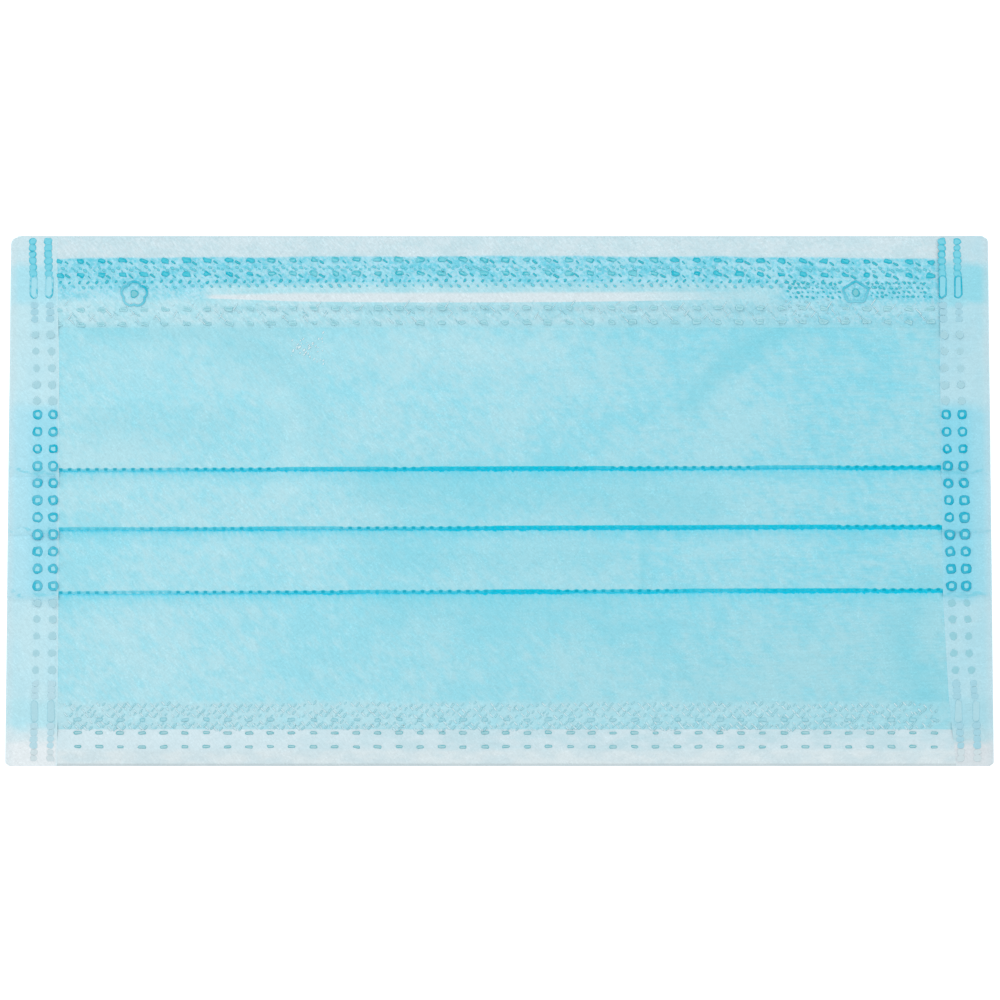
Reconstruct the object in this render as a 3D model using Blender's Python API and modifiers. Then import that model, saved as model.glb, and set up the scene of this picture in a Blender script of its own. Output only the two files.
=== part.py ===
"""A pleated face mask lying flat on a surface, front side up, with its ear loops tucked behind it.

+X runs along the mask, +Y towards its nose edge and +Z up. The origin is on the surface, under
the middle of the mask. Each cloth wall stands for several thin plies welded into one.
"""

import math

import bmesh
import bpy
from mathutils import Vector

# Overall sizes, in metres
HEIGHT = 0.0938
TOP_WIDTH = 0.1729
BOTTOM_WIDTH = 0.1750
TOP_CORNER_RADIUS = 0.0016
BOTTOM_CORNER_RADIUS = 0.0007

# Cloth
CLOTH = 0.0010
GAP = 0.0003
SEAM_PRESS = 0.0001

# Pleats
FOLD_RISE = 0.0006
SEAM_LENGTH = 0.0026

# Hems turned over the top and bottom edges
TOP_HEM_FRONT = 0.0163
TOP_HEM_BACK = 0.0050
BOTTOM_HEM_FRONT = 0.0066
BOTTOM_HEM_BACK = 0.0048

# Side tapes folded over the side edges
TAPE_WIDTH = 0.0088

# Nose wire
WIRE_LENGTH = 0.1010
WIRE_WIDTH = 0.0030
WIRE_THICKNESS = 0.0009
WIRE_BEVEL = 0.0003
WIRE_X = -0.0008
WIRE_ABOVE_HEM_EDGE = 0.0054
WIRE_COVER_TAPER = 0.0035
WIRE_COVER_SLOPE = 0.0016

# Ear loops, of flat elastic
LOOP_WIDTH = 0.0040
LOOP_THICKNESS = 0.0009
LOOP_END_TO_EDGE = 0.0026
LOOP_SPAN = 0.0748
LOOP_ABOVE_MIDDLE = 0.0001
LOOP_POINTS = 30
CURVE_STEPS = 12

# Levels of the wall centres, from the surface up
LAYER_STEP = CLOTH + GAP
BACK_LEVEL = CLOTH / 2
PANEL_LEVEL = BACK_LEVEL + LAYER_STEP
FRONT_LEVEL = PANEL_LEVEL + LAYER_STEP
TURN_RADIUS = (FRONT_LEVEL - BACK_LEVEL) / 2
FOLD_RADIUS = LAYER_STEP / 2
WIRE_Y = HEIGHT / 2 - TOP_HEM_FRONT + WIRE_ABOVE_HEM_EDGE

ARC_STEPS = 8
RAMP_STEPS = 8

# How far down the mask each fold line lies, how deep its hidden pleat is and over what length
# the cloth rises to it, as shares of HEIGHT
PLEATS = (
    {"fold": 0.4405, "depth": 0.120, "ramp": 0.038},
    {"fold": 0.5525, "depth": 0.069, "ramp": 0.036},
    {"fold": 0.6725, "depth": 0.074, "ramp": 0.038},
)

# Width of each side tape down its length, as shares of TAPE_WIDTH against shares of HEIGHT
TAPE_WIDTHS = {
    "left": ((0.0, 0.93), (0.25, 1.0), (0.5, 1.03), (1.0, 1.05)),
    "right": ((0.0, 0.97), (0.3, 1.0), (0.68, 0.99), (0.88, 0.89), (1.0, 0.76)),
}

# Route of each ear loop's middle from its top end to its bottom end: how far it lies from the
# mask's middle, then how far above the middle, in metres
LOOP_ROUTES = {
    "left": (
        (0.0653, 0.0358),
        (0.0512, 0.0342),
        (0.0388, 0.0308),
        (0.0318, 0.0232),
        (0.0273, 0.0152),
        (0.0252, 0.0064),
        (0.0247, -0.0034),
        (0.0265, -0.0140),
        (0.0309, -0.0237),
        (0.0388, -0.0317),
        (0.0512, -0.0361),
        (0.0653, -0.0377),
    ),
    "right": (
        (0.0655, 0.0357),
        (0.0514, 0.0311),
        (0.0399, 0.0241),
        (0.0337, 0.0179),
        (0.0275, 0.0099),
        (0.0250, 0.0002),
        (0.0250, -0.0104),
        (0.0266, -0.0193),
        (0.0311, -0.0281),
        (0.0372, -0.0343),
        (0.0496, -0.0383),
        (0.0638, -0.0386),
    ),
}

SIDES = {"left": -1, "right": 1}


def clear_scene():
    for obj in list(bpy.data.objects):
        bpy.data.objects.remove(obj, do_unlink=True)


def new_collection(name):
    collection = bpy.data.collections.new(name)
    bpy.context.scene.collection.children.link(collection)
    return collection


def new_material(name, colour, roughness):
    material = bpy.data.materials.new(name)
    material.use_nodes = True
    shader = material.node_tree.nodes["Principled BSDF"]
    shader.inputs["Base Color"].default_value = (*colour, 1.0)
    shader.inputs["Roughness"].default_value = roughness
    shader.inputs["Metallic"].default_value = 0.0
    material.diffuse_color = (*colour, 1.0)
    return material


def table_value(table, share):
    """The second column of a table at a share that lies between its rows."""
    for (share_a, value_a), (share_b, value_b) in zip(table, table[1:]):
        if share <= share_b:
            return value_a + (value_b - value_a) * (share - share_a) / (share_b - share_a)
    return table[-1][1]


def share_down(y):
    return min(max(0.5 - y / HEIGHT, 0.0), 1.0)


def corner_inset(y):
    """How far a rounded corner pulls the side edge in at this height."""
    radius = TOP_CORNER_RADIUS if y > 0 else BOTTOM_CORNER_RADIUS
    into_corner = min(max(abs(y) - (HEIGHT / 2 - radius), 0.0), radius)
    return radius - math.sqrt(radius**2 - into_corner**2)


def edge_x(y):
    """Distance of the mask's side edge from its middle at this height."""
    width = TOP_WIDTH + (BOTTOM_WIDTH - TOP_WIDTH) * share_down(y)
    return width / 2 - corner_inset(y)


def tape_inner_x(side, y):
    """Distance of a side tape's inner edge from the middle of the mask at this height."""
    width = TOP_WIDTH + (BOTTOM_WIDTH - TOP_WIDTH) * share_down(y)
    return width / 2 - TAPE_WIDTH * table_value(TAPE_WIDTHS[side], share_down(y))


def arc(centre, radius, start_degrees, end_degrees, steps=ARC_STEPS):
    """Points along an arc, its two ends included."""
    points = []
    for step in range(steps + 1):
        angle = math.radians(start_degrees + (end_degrees - start_degrees) * step / steps)
        points.append((centre[0] + radius * math.cos(angle), centre[1] + radius * math.sin(angle)))
    return points


def ease(share):
    return 0.5 - 0.5 * math.cos(math.pi * share)


def sheet(name, rows, collection, material):
    """A cloth sheet through rows of equally many points, its wall laid evenly about them."""
    mesh = bmesh.new()
    grid = [[mesh.verts.new(point) for point in row] for row in rows]
    for row_a, row_b in zip(grid, grid[1:]):
        for a, b, c, d in zip(row_a, row_a[1:], row_b[1:], row_b):
            mesh.faces.new((a, b, c, d))
    bmesh.ops.recalc_face_normals(mesh, faces=mesh.faces)
    obj = object_from(mesh, name, collection, material)
    wall = obj.modifiers.new("Cloth wall", "SOLIDIFY")
    wall.thickness = CLOTH
    wall.offset = 0.0
    wall.use_even_offset = True
    return obj


def object_from(mesh, name, collection, material=None):
    data = bpy.data.meshes.new(name)
    mesh.to_mesh(data)
    mesh.free()
    obj = bpy.data.objects.new(name, data)
    collection.objects.link(obj)
    if material:
        data.materials.append(material)
    return obj


def shade_smooth(obj, sharp_degrees=35):
    obj.data.shade_smooth()
    obj.data.set_sharp_from_angle(angle=math.radians(sharp_degrees))


def join_or_cut(obj, other, operation):
    boolean = obj.modifiers.new(other.name, "BOOLEAN")
    boolean.operation = operation
    boolean.solver = "EXACT"
    boolean.object = other


def wall_outline(line):
    """The closed outline of a wall of the cloth's thickness about a centre line of 2D points."""
    points = [Vector(point) for point in line]
    runs = [(b - a).normalized() for a, b in zip(points, points[1:])]
    normals = [Vector((-run.y, run.x)) for run in runs]
    near, far = [], []
    for point, before, after in zip(points, [normals[0], *normals], [*normals, normals[-1]]):
        offset = (before + after) / (1 + before.dot(after)) * CLOTH / 2
        near.append(point + offset)
        far.append(point - offset)
    return [*near, *reversed(far)]


def loft(name, runs, collection, material=None):
    """A closed solid for each run of sections of equally many points, with its ends capped."""
    mesh = bmesh.new()
    for sections in runs:
        rings = [[mesh.verts.new(point) for point in section] for section in sections]
        for ring_a, ring_b in zip(rings, rings[1:]):
            for at in range(len(ring_a)):
                after = (at + 1) % len(ring_a)
                mesh.faces.new((ring_a[at], ring_a[after], ring_b[after], ring_b[at]))
        mesh.faces.new(rings[0])
        mesh.faces.new(rings[-1])
    bmesh.ops.recalc_face_normals(mesh, faces=mesh.faces)
    return object_from(mesh, name, collection, material)


def helper(obj):
    obj.hide_render = True
    obj.display_type = "WIRE"
    return obj


def fold_line_y(pleat, side_share):
    """Height of a fold line, where side_share runs from -1 at the left tape to 1 at the right."""
    return HEIGHT * (0.5 - pleat["fold"]) + side_share * FOLD_RISE / 2


def panel_end_y(end):
    """Height of the panel's top edge (end 1) or bottom edge (end -1), inside the hem's turn."""
    return end * (HEIGHT / 2 - CLOTH - GAP)


def pleated_section(side_share):
    """The panel's centre line from its top edge to its bottom edge, as points (y, z).

    At each pleat the cloth rises to the third layer, turns under at the fold line, runs back up
    the mask in the second layer and turns again into the first, where the next panel starts.
    """
    high = PANEL_LEVEL + 2 * LAYER_STEP
    points = [(panel_end_y(1), PANEL_LEVEL)]
    for pleat in PLEATS:
        fold = fold_line_y(pleat, side_share)
        hidden = fold + pleat["depth"] * HEIGHT
        ramp = pleat["ramp"] * HEIGHT
        front_turn = fold + CLOTH / 2 + FOLD_RADIUS
        back_turn = hidden - CLOTH / 2 - FOLD_RADIUS
        for step in range(RAMP_STEPS + 1):
            share = step / RAMP_STEPS
            rise = (high - PANEL_LEVEL) * ease(share)
            points.append((hidden + ramp * (1 - share), PANEL_LEVEL + rise))
        points += arc((front_turn, high - FOLD_RADIUS), FOLD_RADIUS, 90, 270)
        points += arc((back_turn, PANEL_LEVEL + FOLD_RADIUS), FOLD_RADIUS, 90, -90)
    points.append((panel_end_y(-1), PANEL_LEVEL))
    return points


def stack_top(y, side_share):
    """Height of the pleated panel's upper face above the surface at this point."""
    low = PANEL_LEVEL + CLOTH / 2
    rise = 2 * LAYER_STEP
    for pleat in PLEATS:
        fold = fold_line_y(pleat, side_share)
        ramp = pleat["ramp"] * HEIGHT
        up_ramp = y - fold - pleat["depth"] * HEIGHT
        if fold + CLOTH / 2 + FOLD_RADIUS <= y and up_ramp <= ramp:
            return low + rise * ease(1 - max(up_ramp, 0.0) / ramp)
    return low


def margin_heights(side_share):
    """Heights down the mask at which a side seam gets a row of points, top edge first."""
    heights = [panel_end_y(1), panel_end_y(1) - TOP_CORNER_RADIUS]
    for pleat in PLEATS:
        fold = fold_line_y(pleat, side_share)
        hidden = fold + pleat["depth"] * HEIGHT
        for step in range(RAMP_STEPS // 2 + 1):
            heights.append(hidden + pleat["ramp"] * HEIGHT * (1 - 2 * step / RAMP_STEPS))
        heights.append(fold + CLOTH / 2 + FOLD_RADIUS)
        heights.append(fold + CLOTH / 2 + FOLD_RADIUS - GAP)
    heights += [panel_end_y(-1) + BOTTOM_CORNER_RADIUS, panel_end_y(-1)]
    return sorted(heights, reverse=True)


def seam_sections(side):
    """One solid edge of the panel: the pleats pressed flat beside the tape, and the margin in it."""
    sign = SIDES[side]
    bottom = PANEL_LEVEL - CLOTH / 2 + SEAM_PRESS
    flat = PANEL_LEVEL + CLOTH / 2 - SEAM_PRESS
    sections = []
    for y in margin_heights(sign):
        inner = tape_inner_x(side, y)
        crest = stack_top(y, sign) - SEAM_PRESS
        profile = (
            (inner - SEAM_LENGTH - CLOTH, crest),
            (inner - SEAM_LENGTH, crest),
            (inner - GAP, flat),
            (edge_x(y) - CLOTH - GAP, flat),
            (edge_x(y) - CLOTH - GAP, bottom),
            (inner - SEAM_LENGTH - CLOTH, bottom),
        )
        sections.append([(sign * x, y, z) for x, z in profile])
    return sections


def pleated_panel(parts, cutters, material):
    rows = []
    for side, sign in SIDES.items():
        row = []
        for y, z in pleated_section(sign):
            reach = tape_inner_x(side, y) - SEAM_LENGTH - CLOTH / 2
            row.append((sign * reach, y, z))
        rows.append(row)
    panel = sheet("pleated_panel", rows, parts, material)
    seams = helper(loft("side seams", [seam_sections(side) for side in SIDES], cutters))
    join_or_cut(panel, seams, "UNION")
    shade_smooth(panel)
    return panel


def hem_section(end, front, back, cover=0.0):
    """A hem's centre line as points (y, z), from its front edge round the mask's edge to its back.

    cover is the height by which its front leaf bulges over the nose wire.
    """
    turn_y = HEIGHT / 2 - CLOTH / 2 - TURN_RADIUS
    middle = FRONT_LEVEL - TURN_RADIUS
    points = [(HEIGHT / 2 - front, FRONT_LEVEL)]
    if end > 0:
        flat_half = WIRE_WIDTH / 2 + 2 * GAP
        foot_half = flat_half + WIRE_COVER_SLOPE
        for offset, lift in ((-foot_half, 0), (-flat_half, 1), (flat_half, 1), (foot_half, 0)):
            points.append((WIRE_Y + offset, FRONT_LEVEL + lift * cover))
    points += arc((turn_y, middle), TURN_RADIUS, 90, -90)
    points.append((HEIGHT / 2 - back, BACK_LEVEL))
    return [(end * y, z) for y, z in points]


def hem(name, end, front, back, parts, material):
    """The lining turned over the top edge (end 1) or the bottom edge (end -1)."""
    wire_left = WIRE_X - WIRE_LENGTH / 2 - GAP
    wire_right = WIRE_X + WIRE_LENGTH / 2 + GAP
    covered = WIRE_THICKNESS + GAP
    stations = [("left", 0.0), ("right", 0.0)]
    if end > 0:
        stations[1:1] = [
            (wire_left - WIRE_COVER_TAPER, 0.0),
            (wire_left, covered),
            (wire_right, covered),
            (wire_right + WIRE_COVER_TAPER, 0.0),
        ]
    sections = []
    for place, cover in stations:
        section = []
        for y, z in wall_outline(hem_section(end, front, back, cover)):
            x = SIDES[place] * (tape_inner_x(place, y) - GAP) if place in SIDES else place
            section.append((x, y, z))
        sections.append(section)
    leaf = loft(name, [sections], parts, material)
    shade_smooth(leaf)
    return leaf


def tape_heights(side):
    """Heights at which a side tape gets a section, with the rounded corners and table rows."""
    heights = [HEIGHT / 2 - share * HEIGHT for share, _ in TAPE_WIDTHS[side][1:-1]]
    corners = ((1, TOP_CORNER_RADIUS), (-1, BOTTOM_CORNER_RADIUS))
    for end, radius in corners:
        for degrees in (0, 30, 60, 90):
            down = radius * (1 - math.sin(math.radians(degrees)))
            heights.append(end * (HEIGHT / 2 - down))
    return sorted(heights, reverse=True)


def loop_end_y(end):
    return LOOP_ABOVE_MIDDLE + end * LOOP_SPAN / 2


def loop_end_x(end):
    """How far out an ear loop reaches in its bed in the back of a tape."""
    return edge_x(loop_end_y(end)) - LOOP_END_TO_EDGE


def loop_notch(side, end, collection):
    """The bed for one end of an ear loop, pressed through the back leaf of the tape."""
    inner = tape_inner_x(side, loop_end_y(end)) - CLOTH
    outer = loop_end_x(end) + GAP
    bpy.ops.mesh.primitive_cube_add(size=1.0)
    notch = bpy.context.object
    notch.name = f"loop bed {side} {end}"
    notch.scale = (outer - inner, LOOP_WIDTH + 2 * GAP, 2 * LAYER_STEP)
    notch.location = (SIDES[side] * (inner + outer) / 2, loop_end_y(end), GAP / 2)
    for collection_of in notch.users_collection:
        collection_of.objects.unlink(notch)
    collection.objects.link(notch)
    return helper(notch)


def side_tape(side, parts, cutters, material):
    sign = SIDES[side]
    middle = FRONT_LEVEL - TURN_RADIUS
    sections = []
    for y in tape_heights(side):
        inner = tape_inner_x(side, y)
        turn_x = edge_x(y) - CLOTH / 2 - TURN_RADIUS
        line = [(inner, FRONT_LEVEL)]
        line += arc((turn_x, middle), TURN_RADIUS, 90, -90)
        line.append((inner, BACK_LEVEL))
        sections.append([(sign * x, y, z) for x, z in wall_outline(line)])
    tape = loft(f"side_tape_{side}", [sections], parts, material)
    for end in (1, -1):
        join_or_cut(tape, loop_notch(side, end, cutters), "DIFFERENCE")
    shade_smooth(tape)
    return tape


def nose_wire(parts, material):
    bpy.ops.mesh.primitive_cube_add(size=1.0)
    wire = bpy.context.object
    wire.name = "nose_wire"
    wire.data.name = "nose_wire"
    for vertex in wire.data.vertices:
        vertex.co.x *= WIRE_LENGTH
        vertex.co.y *= WIRE_WIDTH
        vertex.co.z *= WIRE_THICKNESS
    level = PANEL_LEVEL + CLOTH / 2 + GAP + WIRE_THICKNESS / 2
    wire.location = (WIRE_X, WIRE_Y, level)
    wire.data.materials.append(material)
    for collection_of in wire.users_collection:
        collection_of.objects.unlink(wire)
    parts.objects.link(wire)
    edges = wire.modifiers.new("Rounded edges", "BEVEL")
    edges.width = WIRE_BEVEL
    edges.segments = 3
    shade_smooth(wire)
    return wire


def smooth_route(points, count):
    """Points spaced evenly along a smooth curve through the route's own points."""
    padded = [points[0], *points, points[-1]]
    fine = []
    for before, start, stop, after in zip(padded, padded[1:], padded[2:], padded[3:]):
        for step in range(CURVE_STEPS):
            t = step / CURVE_STEPS
            fine.append(tuple(
                0.5 * (2 * b + (c - a) * t + (2 * a - 5 * b + 4 * c - d) * t**2
                       + (3 * b - a - 3 * c + d) * t**3)
                for a, b, c, d in zip(before, start, stop, after)
            ))
    fine.append(points[-1])
    lengths = [0.0]
    for a, b in zip(fine, fine[1:]):
        lengths.append(lengths[-1] + math.dist(a, b))
    even = []
    for index in range(count):
        target = lengths[-1] * index / (count - 1)
        at = next(i for i, length in enumerate(lengths[1:]) if length >= target - 1e-9)
        share = (target - lengths[at]) / (lengths[at + 1] - lengths[at])
        even.append(tuple(a + (b - a) * share for a, b in zip(fine[at], fine[at + 1])))
    return even


def ear_loop(side, parts, material):
    """A flat elastic whose two ends lie in the tape's beds and whose middle lies under the panel."""
    sign = SIDES[side]
    top, bottom = (
        [(loop_end_x(end), loop_end_y(end)),
         (tape_inner_x(side, loop_end_y(end)) - LOOP_WIDTH, loop_end_y(end))]
        for end in (1, -1)
    )
    whole = [*top, *LOOP_ROUTES[side], *reversed(bottom)]
    data = bpy.data.curves.new(f"ear_loop_{side}", "CURVE")
    data.dimensions = "3D"
    data.twist_mode = "Z_UP"
    data.extrude = (LOOP_WIDTH - LOOP_THICKNESS) / 2
    data.bevel_depth = LOOP_THICKNESS / 2
    data.bevel_resolution = 2
    data.use_fill_caps = True
    spline = data.splines.new("POLY")
    centres = smooth_route(whole, LOOP_POINTS)
    spline.points.add(len(centres) - 1)
    for point, (x, y) in zip(spline.points, centres):
        point.co = (sign * x, y, LOOP_THICKNESS / 2, 1.0)
        point.tilt = math.pi / 2
    spline.use_smooth = True
    data.materials.append(material)
    loop = bpy.data.objects.new(f"ear_loop_{side}", data)
    parts.objects.link(loop)
    return loop


def build():
    clear_scene()
    parts = new_collection("face_mask")
    cutters = new_collection("cutters")
    blue_cloth = new_material("blue_cloth", (0.37, 0.72, 0.81), 0.85)
    white_cloth = new_material("white_cloth", (0.78, 0.86, 0.89), 0.85)
    tape_cloth = new_material("tape_cloth", (0.53, 0.78, 0.85), 0.8)
    wire_cover = new_material("wire_cover", (0.85, 0.88, 0.89), 0.45)
    elastic = new_material("elastic", (0.86, 0.88, 0.88), 0.9)
    pleated_panel(parts, cutters, blue_cloth)
    hem("top_hem", 1, TOP_HEM_FRONT, TOP_HEM_BACK, parts, white_cloth)
    hem("bottom_hem", -1, BOTTOM_HEM_FRONT, BOTTOM_HEM_BACK, parts, white_cloth)
    nose_wire(parts, wire_cover)
    for side in SIDES:
        side_tape(side, parts, cutters, tape_cloth)
        ear_loop(side, parts, elastic)


build()
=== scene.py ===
import math

import bmesh
import bpy
import numpy as np
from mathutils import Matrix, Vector, noise


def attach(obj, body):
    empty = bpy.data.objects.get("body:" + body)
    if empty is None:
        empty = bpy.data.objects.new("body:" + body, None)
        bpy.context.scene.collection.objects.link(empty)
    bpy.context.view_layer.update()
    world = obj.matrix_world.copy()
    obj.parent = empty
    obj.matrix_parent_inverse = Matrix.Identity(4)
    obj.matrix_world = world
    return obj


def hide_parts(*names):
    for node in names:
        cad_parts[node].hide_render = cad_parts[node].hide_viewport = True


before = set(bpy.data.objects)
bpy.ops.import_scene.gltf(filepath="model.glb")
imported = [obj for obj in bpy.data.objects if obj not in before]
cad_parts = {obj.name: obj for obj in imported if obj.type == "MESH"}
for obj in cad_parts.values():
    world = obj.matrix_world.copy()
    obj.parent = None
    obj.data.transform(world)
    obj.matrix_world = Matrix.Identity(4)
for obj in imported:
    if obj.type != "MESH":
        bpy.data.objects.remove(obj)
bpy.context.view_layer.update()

# Camera
# The mask lies under a camera that looks straight down, as in a catalogue picture. The lens is
# long, so that the puffed cloth hardly shifts across the view.
MM = 0.001
PIXELS_PER_METRE = 5651
IMAGE_PIXELS = 1000
VIEW_CENTRE = (0.09 * MM, 0.18 * MM)
OUTLINE_LEVEL = 1.8 * MM
LENS_MM = 300
SENSOR_MM = 36

view_width = IMAGE_PIXELS / PIXELS_PER_METRE
camera_data = bpy.data.cameras.new("catalogue_camera")
camera_data.lens = LENS_MM
camera_data.sensor_width = SENSOR_MM
camera_data.clip_end = 20.0
camera = bpy.data.objects.new("catalogue_camera", camera_data)
camera.location = (*VIEW_CENTRE, OUTLINE_LEVEL + view_width * LENS_MM / SENSOR_MM)
bpy.context.scene.collection.objects.link(camera)
bpy.context.scene.camera = camera


# Ear loops
# Each is a flat knitted elastic, folded away behind the mask. Its ends are welded into the backs
# of the side tapes, and its middle lies in a D-shaped arc between the mask and the surface.
LOOP_WIDTH = 4.0 * MM
LOOP_THICKNESS = 0.9 * MM
LOOP_RIBS = 6
LOOP_RIB_DEPTH = 0.07 * MM
LOOP_STATIONS = 260
LOOP_ENDS = {
    "left": ((84.33, 37.50), (74.10, 37.50), (74.30, -37.30), (84.75, -37.30)),
    "right": ((84.33, 37.50), (74.04, 37.50), (76.10, -37.30), (84.75, -37.30)),
}
LOOP_ROUTES = {
    "left": (
        (65.3, 35.8), (51.2, 34.2), (38.8, 30.8), (31.8, 23.2), (27.3, 15.2), (25.2, 6.4),
        (24.7, -3.4), (26.5, -14.0), (30.9, -23.7), (38.8, -31.7), (51.2, -36.1), (65.3, -37.7),
    ),
    "right": (
        (65.5, 35.7), (51.4, 31.1), (39.9, 24.1), (33.7, 17.9), (27.5, 9.9), (25.0, 0.2),
        (25.0, -10.4), (26.6, -19.3), (31.1, -28.1), (37.2, -34.3), (49.6, -38.3), (63.8, -38.6),
    ),
}
SIDES = {"left": -1, "right": 1}
LOOP_EDGE_POWER = 8
RIB_POINTS = 6
SPAN_POINTS = 24
SHARP_DEGREES = 35


class Wire:
    """A shader socket that Python's own operators work on."""

    def __init__(self, tree, socket):
        self.tree = tree
        self.socket = socket

    def node(self, kind, settings=(), values=(), output=0):
        """Adds a node, with its settings made first, then its sockets' values or links."""
        made = self.tree.nodes.new(kind)
        for name, value in dict(settings).items():
            setattr(made, name, value)
        for name, value in dict(values).items():
            if isinstance(value, Wire):
                self.tree.links.new(value.socket, made.inputs[name])
            else:
                made.inputs[name].default_value = value
        return Wire(self.tree, made.outputs[output])

    def math(self, operation, other=0.0):
        return self.node("ShaderNodeMath", {"operation": operation}, {0: self, 1: other})

    def __add__(self, other):
        return self.math("ADD", other)

    def __sub__(self, other):
        return self.math("SUBTRACT", other)

    def __mul__(self, other):
        return self.math("MULTIPLY", other)

    def __truediv__(self, other):
        return self.math("DIVIDE", other)

    def __radd__(self, other):
        return self + other

    def __rmul__(self, other):
        return self * other

    def __rsub__(self, other):
        return self * -1 + other

    def __abs__(self):
        return self.math("ABSOLUTE")

    def rise(self, start, stop):
        """0 below start and 1 above stop, with a smooth step between; falls where stop is less."""
        low, high = min(start, stop), max(start, stop)
        ends = (0.0, 1.0) if start < stop else (1.0, 0.0)
        values = {0: self, 1: low, 2: high, 3: ends[0], 4: ends[1]}
        return self.node("ShaderNodeMapRange", {"interpolation_type": "SMOOTHSTEP"}, values)

    def blend(self, first, second):
        """The first colour where this is 0 and the second where it is 1."""
        pair = {6: first, 7: second}
        for name, colour in pair.items():
            if isinstance(colour, tuple):
                pair[name] = (*colour, 1.0)
        settings = {"data_type": "RGBA", "clamp_factor": True}
        return self.node("ShaderNodeMix", settings, {0: self, **pair}, 2)

    def blend_value(self, first, second):
        """The first number where this is 0 and the second where it is 1."""
        return first * (1 - self) + second * self

    def noise(self, long, wide, turn=0.0, detail=3.0):
        """Cloudy noise whose lumps are so long and wide, in metres, with the long way turned."""
        values = {"Vector": self, "Scale": (long, wide, wide),
                  "Rotation": (0.0, 0.0, math.radians(turn))}
        placed = self.node("ShaderNodeMapping", {"vector_type": "TEXTURE"}, values)
        return self.node("ShaderNodeTexNoise", {}, {"Vector": placed, "Scale": 1.0, "Detail": detail})

    def named(self, name):
        """A number that the piece's mesh stores under a name."""
        return self.node("ShaderNodeAttribute", {"attribute_name": name}, {}, 2)

    def xyz(self):
        separate = self.node("ShaderNodeSeparateXYZ", {}, {0: self}).socket.node
        return [Wire(self.tree, separate.outputs[axis]) for axis in range(3)]


def tint(red, green, blue):
    """A colour for a shader from its value on the screen, 0 to 255."""
    shares = [value / 255 for value in (red, green, blue)]
    return tuple(((share + 0.055) / 1.055) ** 2.4 if share > 0.04045 else share / 12.92
                 for share in shares)


def material_named(name, roughness):
    """An empty cloth material, its Principled shader and its place on the object as Wires."""
    material = bpy.data.materials.new(name)
    material.use_nodes = True
    tree = material.node_tree
    shader = tree.nodes["Principled BSDF"]
    shader.inputs["Roughness"].default_value = roughness
    shader.inputs["Specular IOR Level"].default_value = 0.06
    place = Wire(tree, None).node("ShaderNodeTexCoord", output=3)
    return material, shader, place


def finish_cloth(shader, colour, relief, contrast=0.1, depth=0.03 * MM):
    """Links a cloth's colour into its shader, with its fine relief as light, dark and bump."""
    bright = (relief - 0.5) * contrast + 1.0
    colour = colour.node("ShaderNodeVectorMath", {"operation": "SCALE"}, {0: colour, "Scale": bright})
    bump = colour.node("ShaderNodeBump", {}, {"Height": relief, "Strength": 0.5, "Distance": depth})
    colour.tree.links.new(colour.socket, shader.inputs["Base Color"])
    colour.tree.links.new(bump.socket, shader.inputs["Normal"])


def mesh_object(name, points, faces, material):
    """A smooth piece from points and faces, its normals turned outwards."""
    data = bpy.data.meshes.new(name)
    data.from_pydata([tuple(map(float, point)) for point in points], [], faces)
    shape = bmesh.new()
    shape.from_mesh(data)
    bmesh.ops.recalc_face_normals(shape, faces=shape.faces)
    shape.to_mesh(data)
    shape.free()
    data.materials.append(material)
    data.shade_smooth()
    data.set_sharp_from_angle(angle=math.radians(SHARP_DEGREES))
    piece = bpy.data.objects.new(name, data)
    bpy.context.scene.collection.objects.link(piece)
    return piece


def loft(name, sections, material):
    """A closed piece through an array of sections of equally many points, its ends capped."""
    sections = np.asarray(sections)
    count, around = sections.shape[:2]
    points = sections.reshape(-1, 3)
    faces = []
    for row in range(count - 1):
        for at in range(around):
            after = (at + 1) % around
            faces.append((row * around + at, row * around + after,
                          (row + 1) * around + after, (row + 1) * around + at))
    half = around // 2
    for row in (0, count - 1):
        first = row * around
        for at in range(half - 1):
            faces.append((first + at, first + at + 1,
                          first + around - 2 - at, first + around - 1 - at))
    return mesh_object(name, points, faces, material)


def smooth_route(points, count):
    """Points spaced evenly along a smooth curve through a route's own points."""
    points = np.array([points[0], *points, points[-1]], float)
    fine = []
    for a, b, c, d in zip(points, points[1:], points[2:], points[3:]):
        for t in np.linspace(0, 1, SPAN_POINTS, endpoint=False):
            fine.append(0.5 * (2 * b + (c - a) * t + (2 * a - 5 * b + 4 * c - d) * t**2
                               + (3 * b - a - 3 * c + d) * t**3))
    fine = np.array([*fine, points[-1]])
    steps = np.linalg.norm(np.diff(fine, axis=0), axis=1)
    along = np.concatenate([[0], np.cumsum(steps)])
    even = np.linspace(0, along[-1], count)
    return np.stack([np.interp(even, along, fine[:, axis]) for axis in (0, 1)], axis=1)


def elastic_material():
    """Knitted elastic: lengthwise ribs are modelled, and the cross threads are pressed in here."""
    material, shader, place = material_named("elastic", 0.9)
    threads = place.noise(0.5 * MM, 0.35 * MM, detail=2)
    dust = place.noise(4 * MM, 3 * MM, detail=4)
    colour = (threads.rise(0.35, 0.7) * 0.4 + dust.rise(0.3, 0.8) * 0.4).blend(
        tint(208, 216, 220), tint(232, 236, 238))
    finish_cloth(shader, colour, threads, 0.2, 0.08 * MM)
    return material


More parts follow.
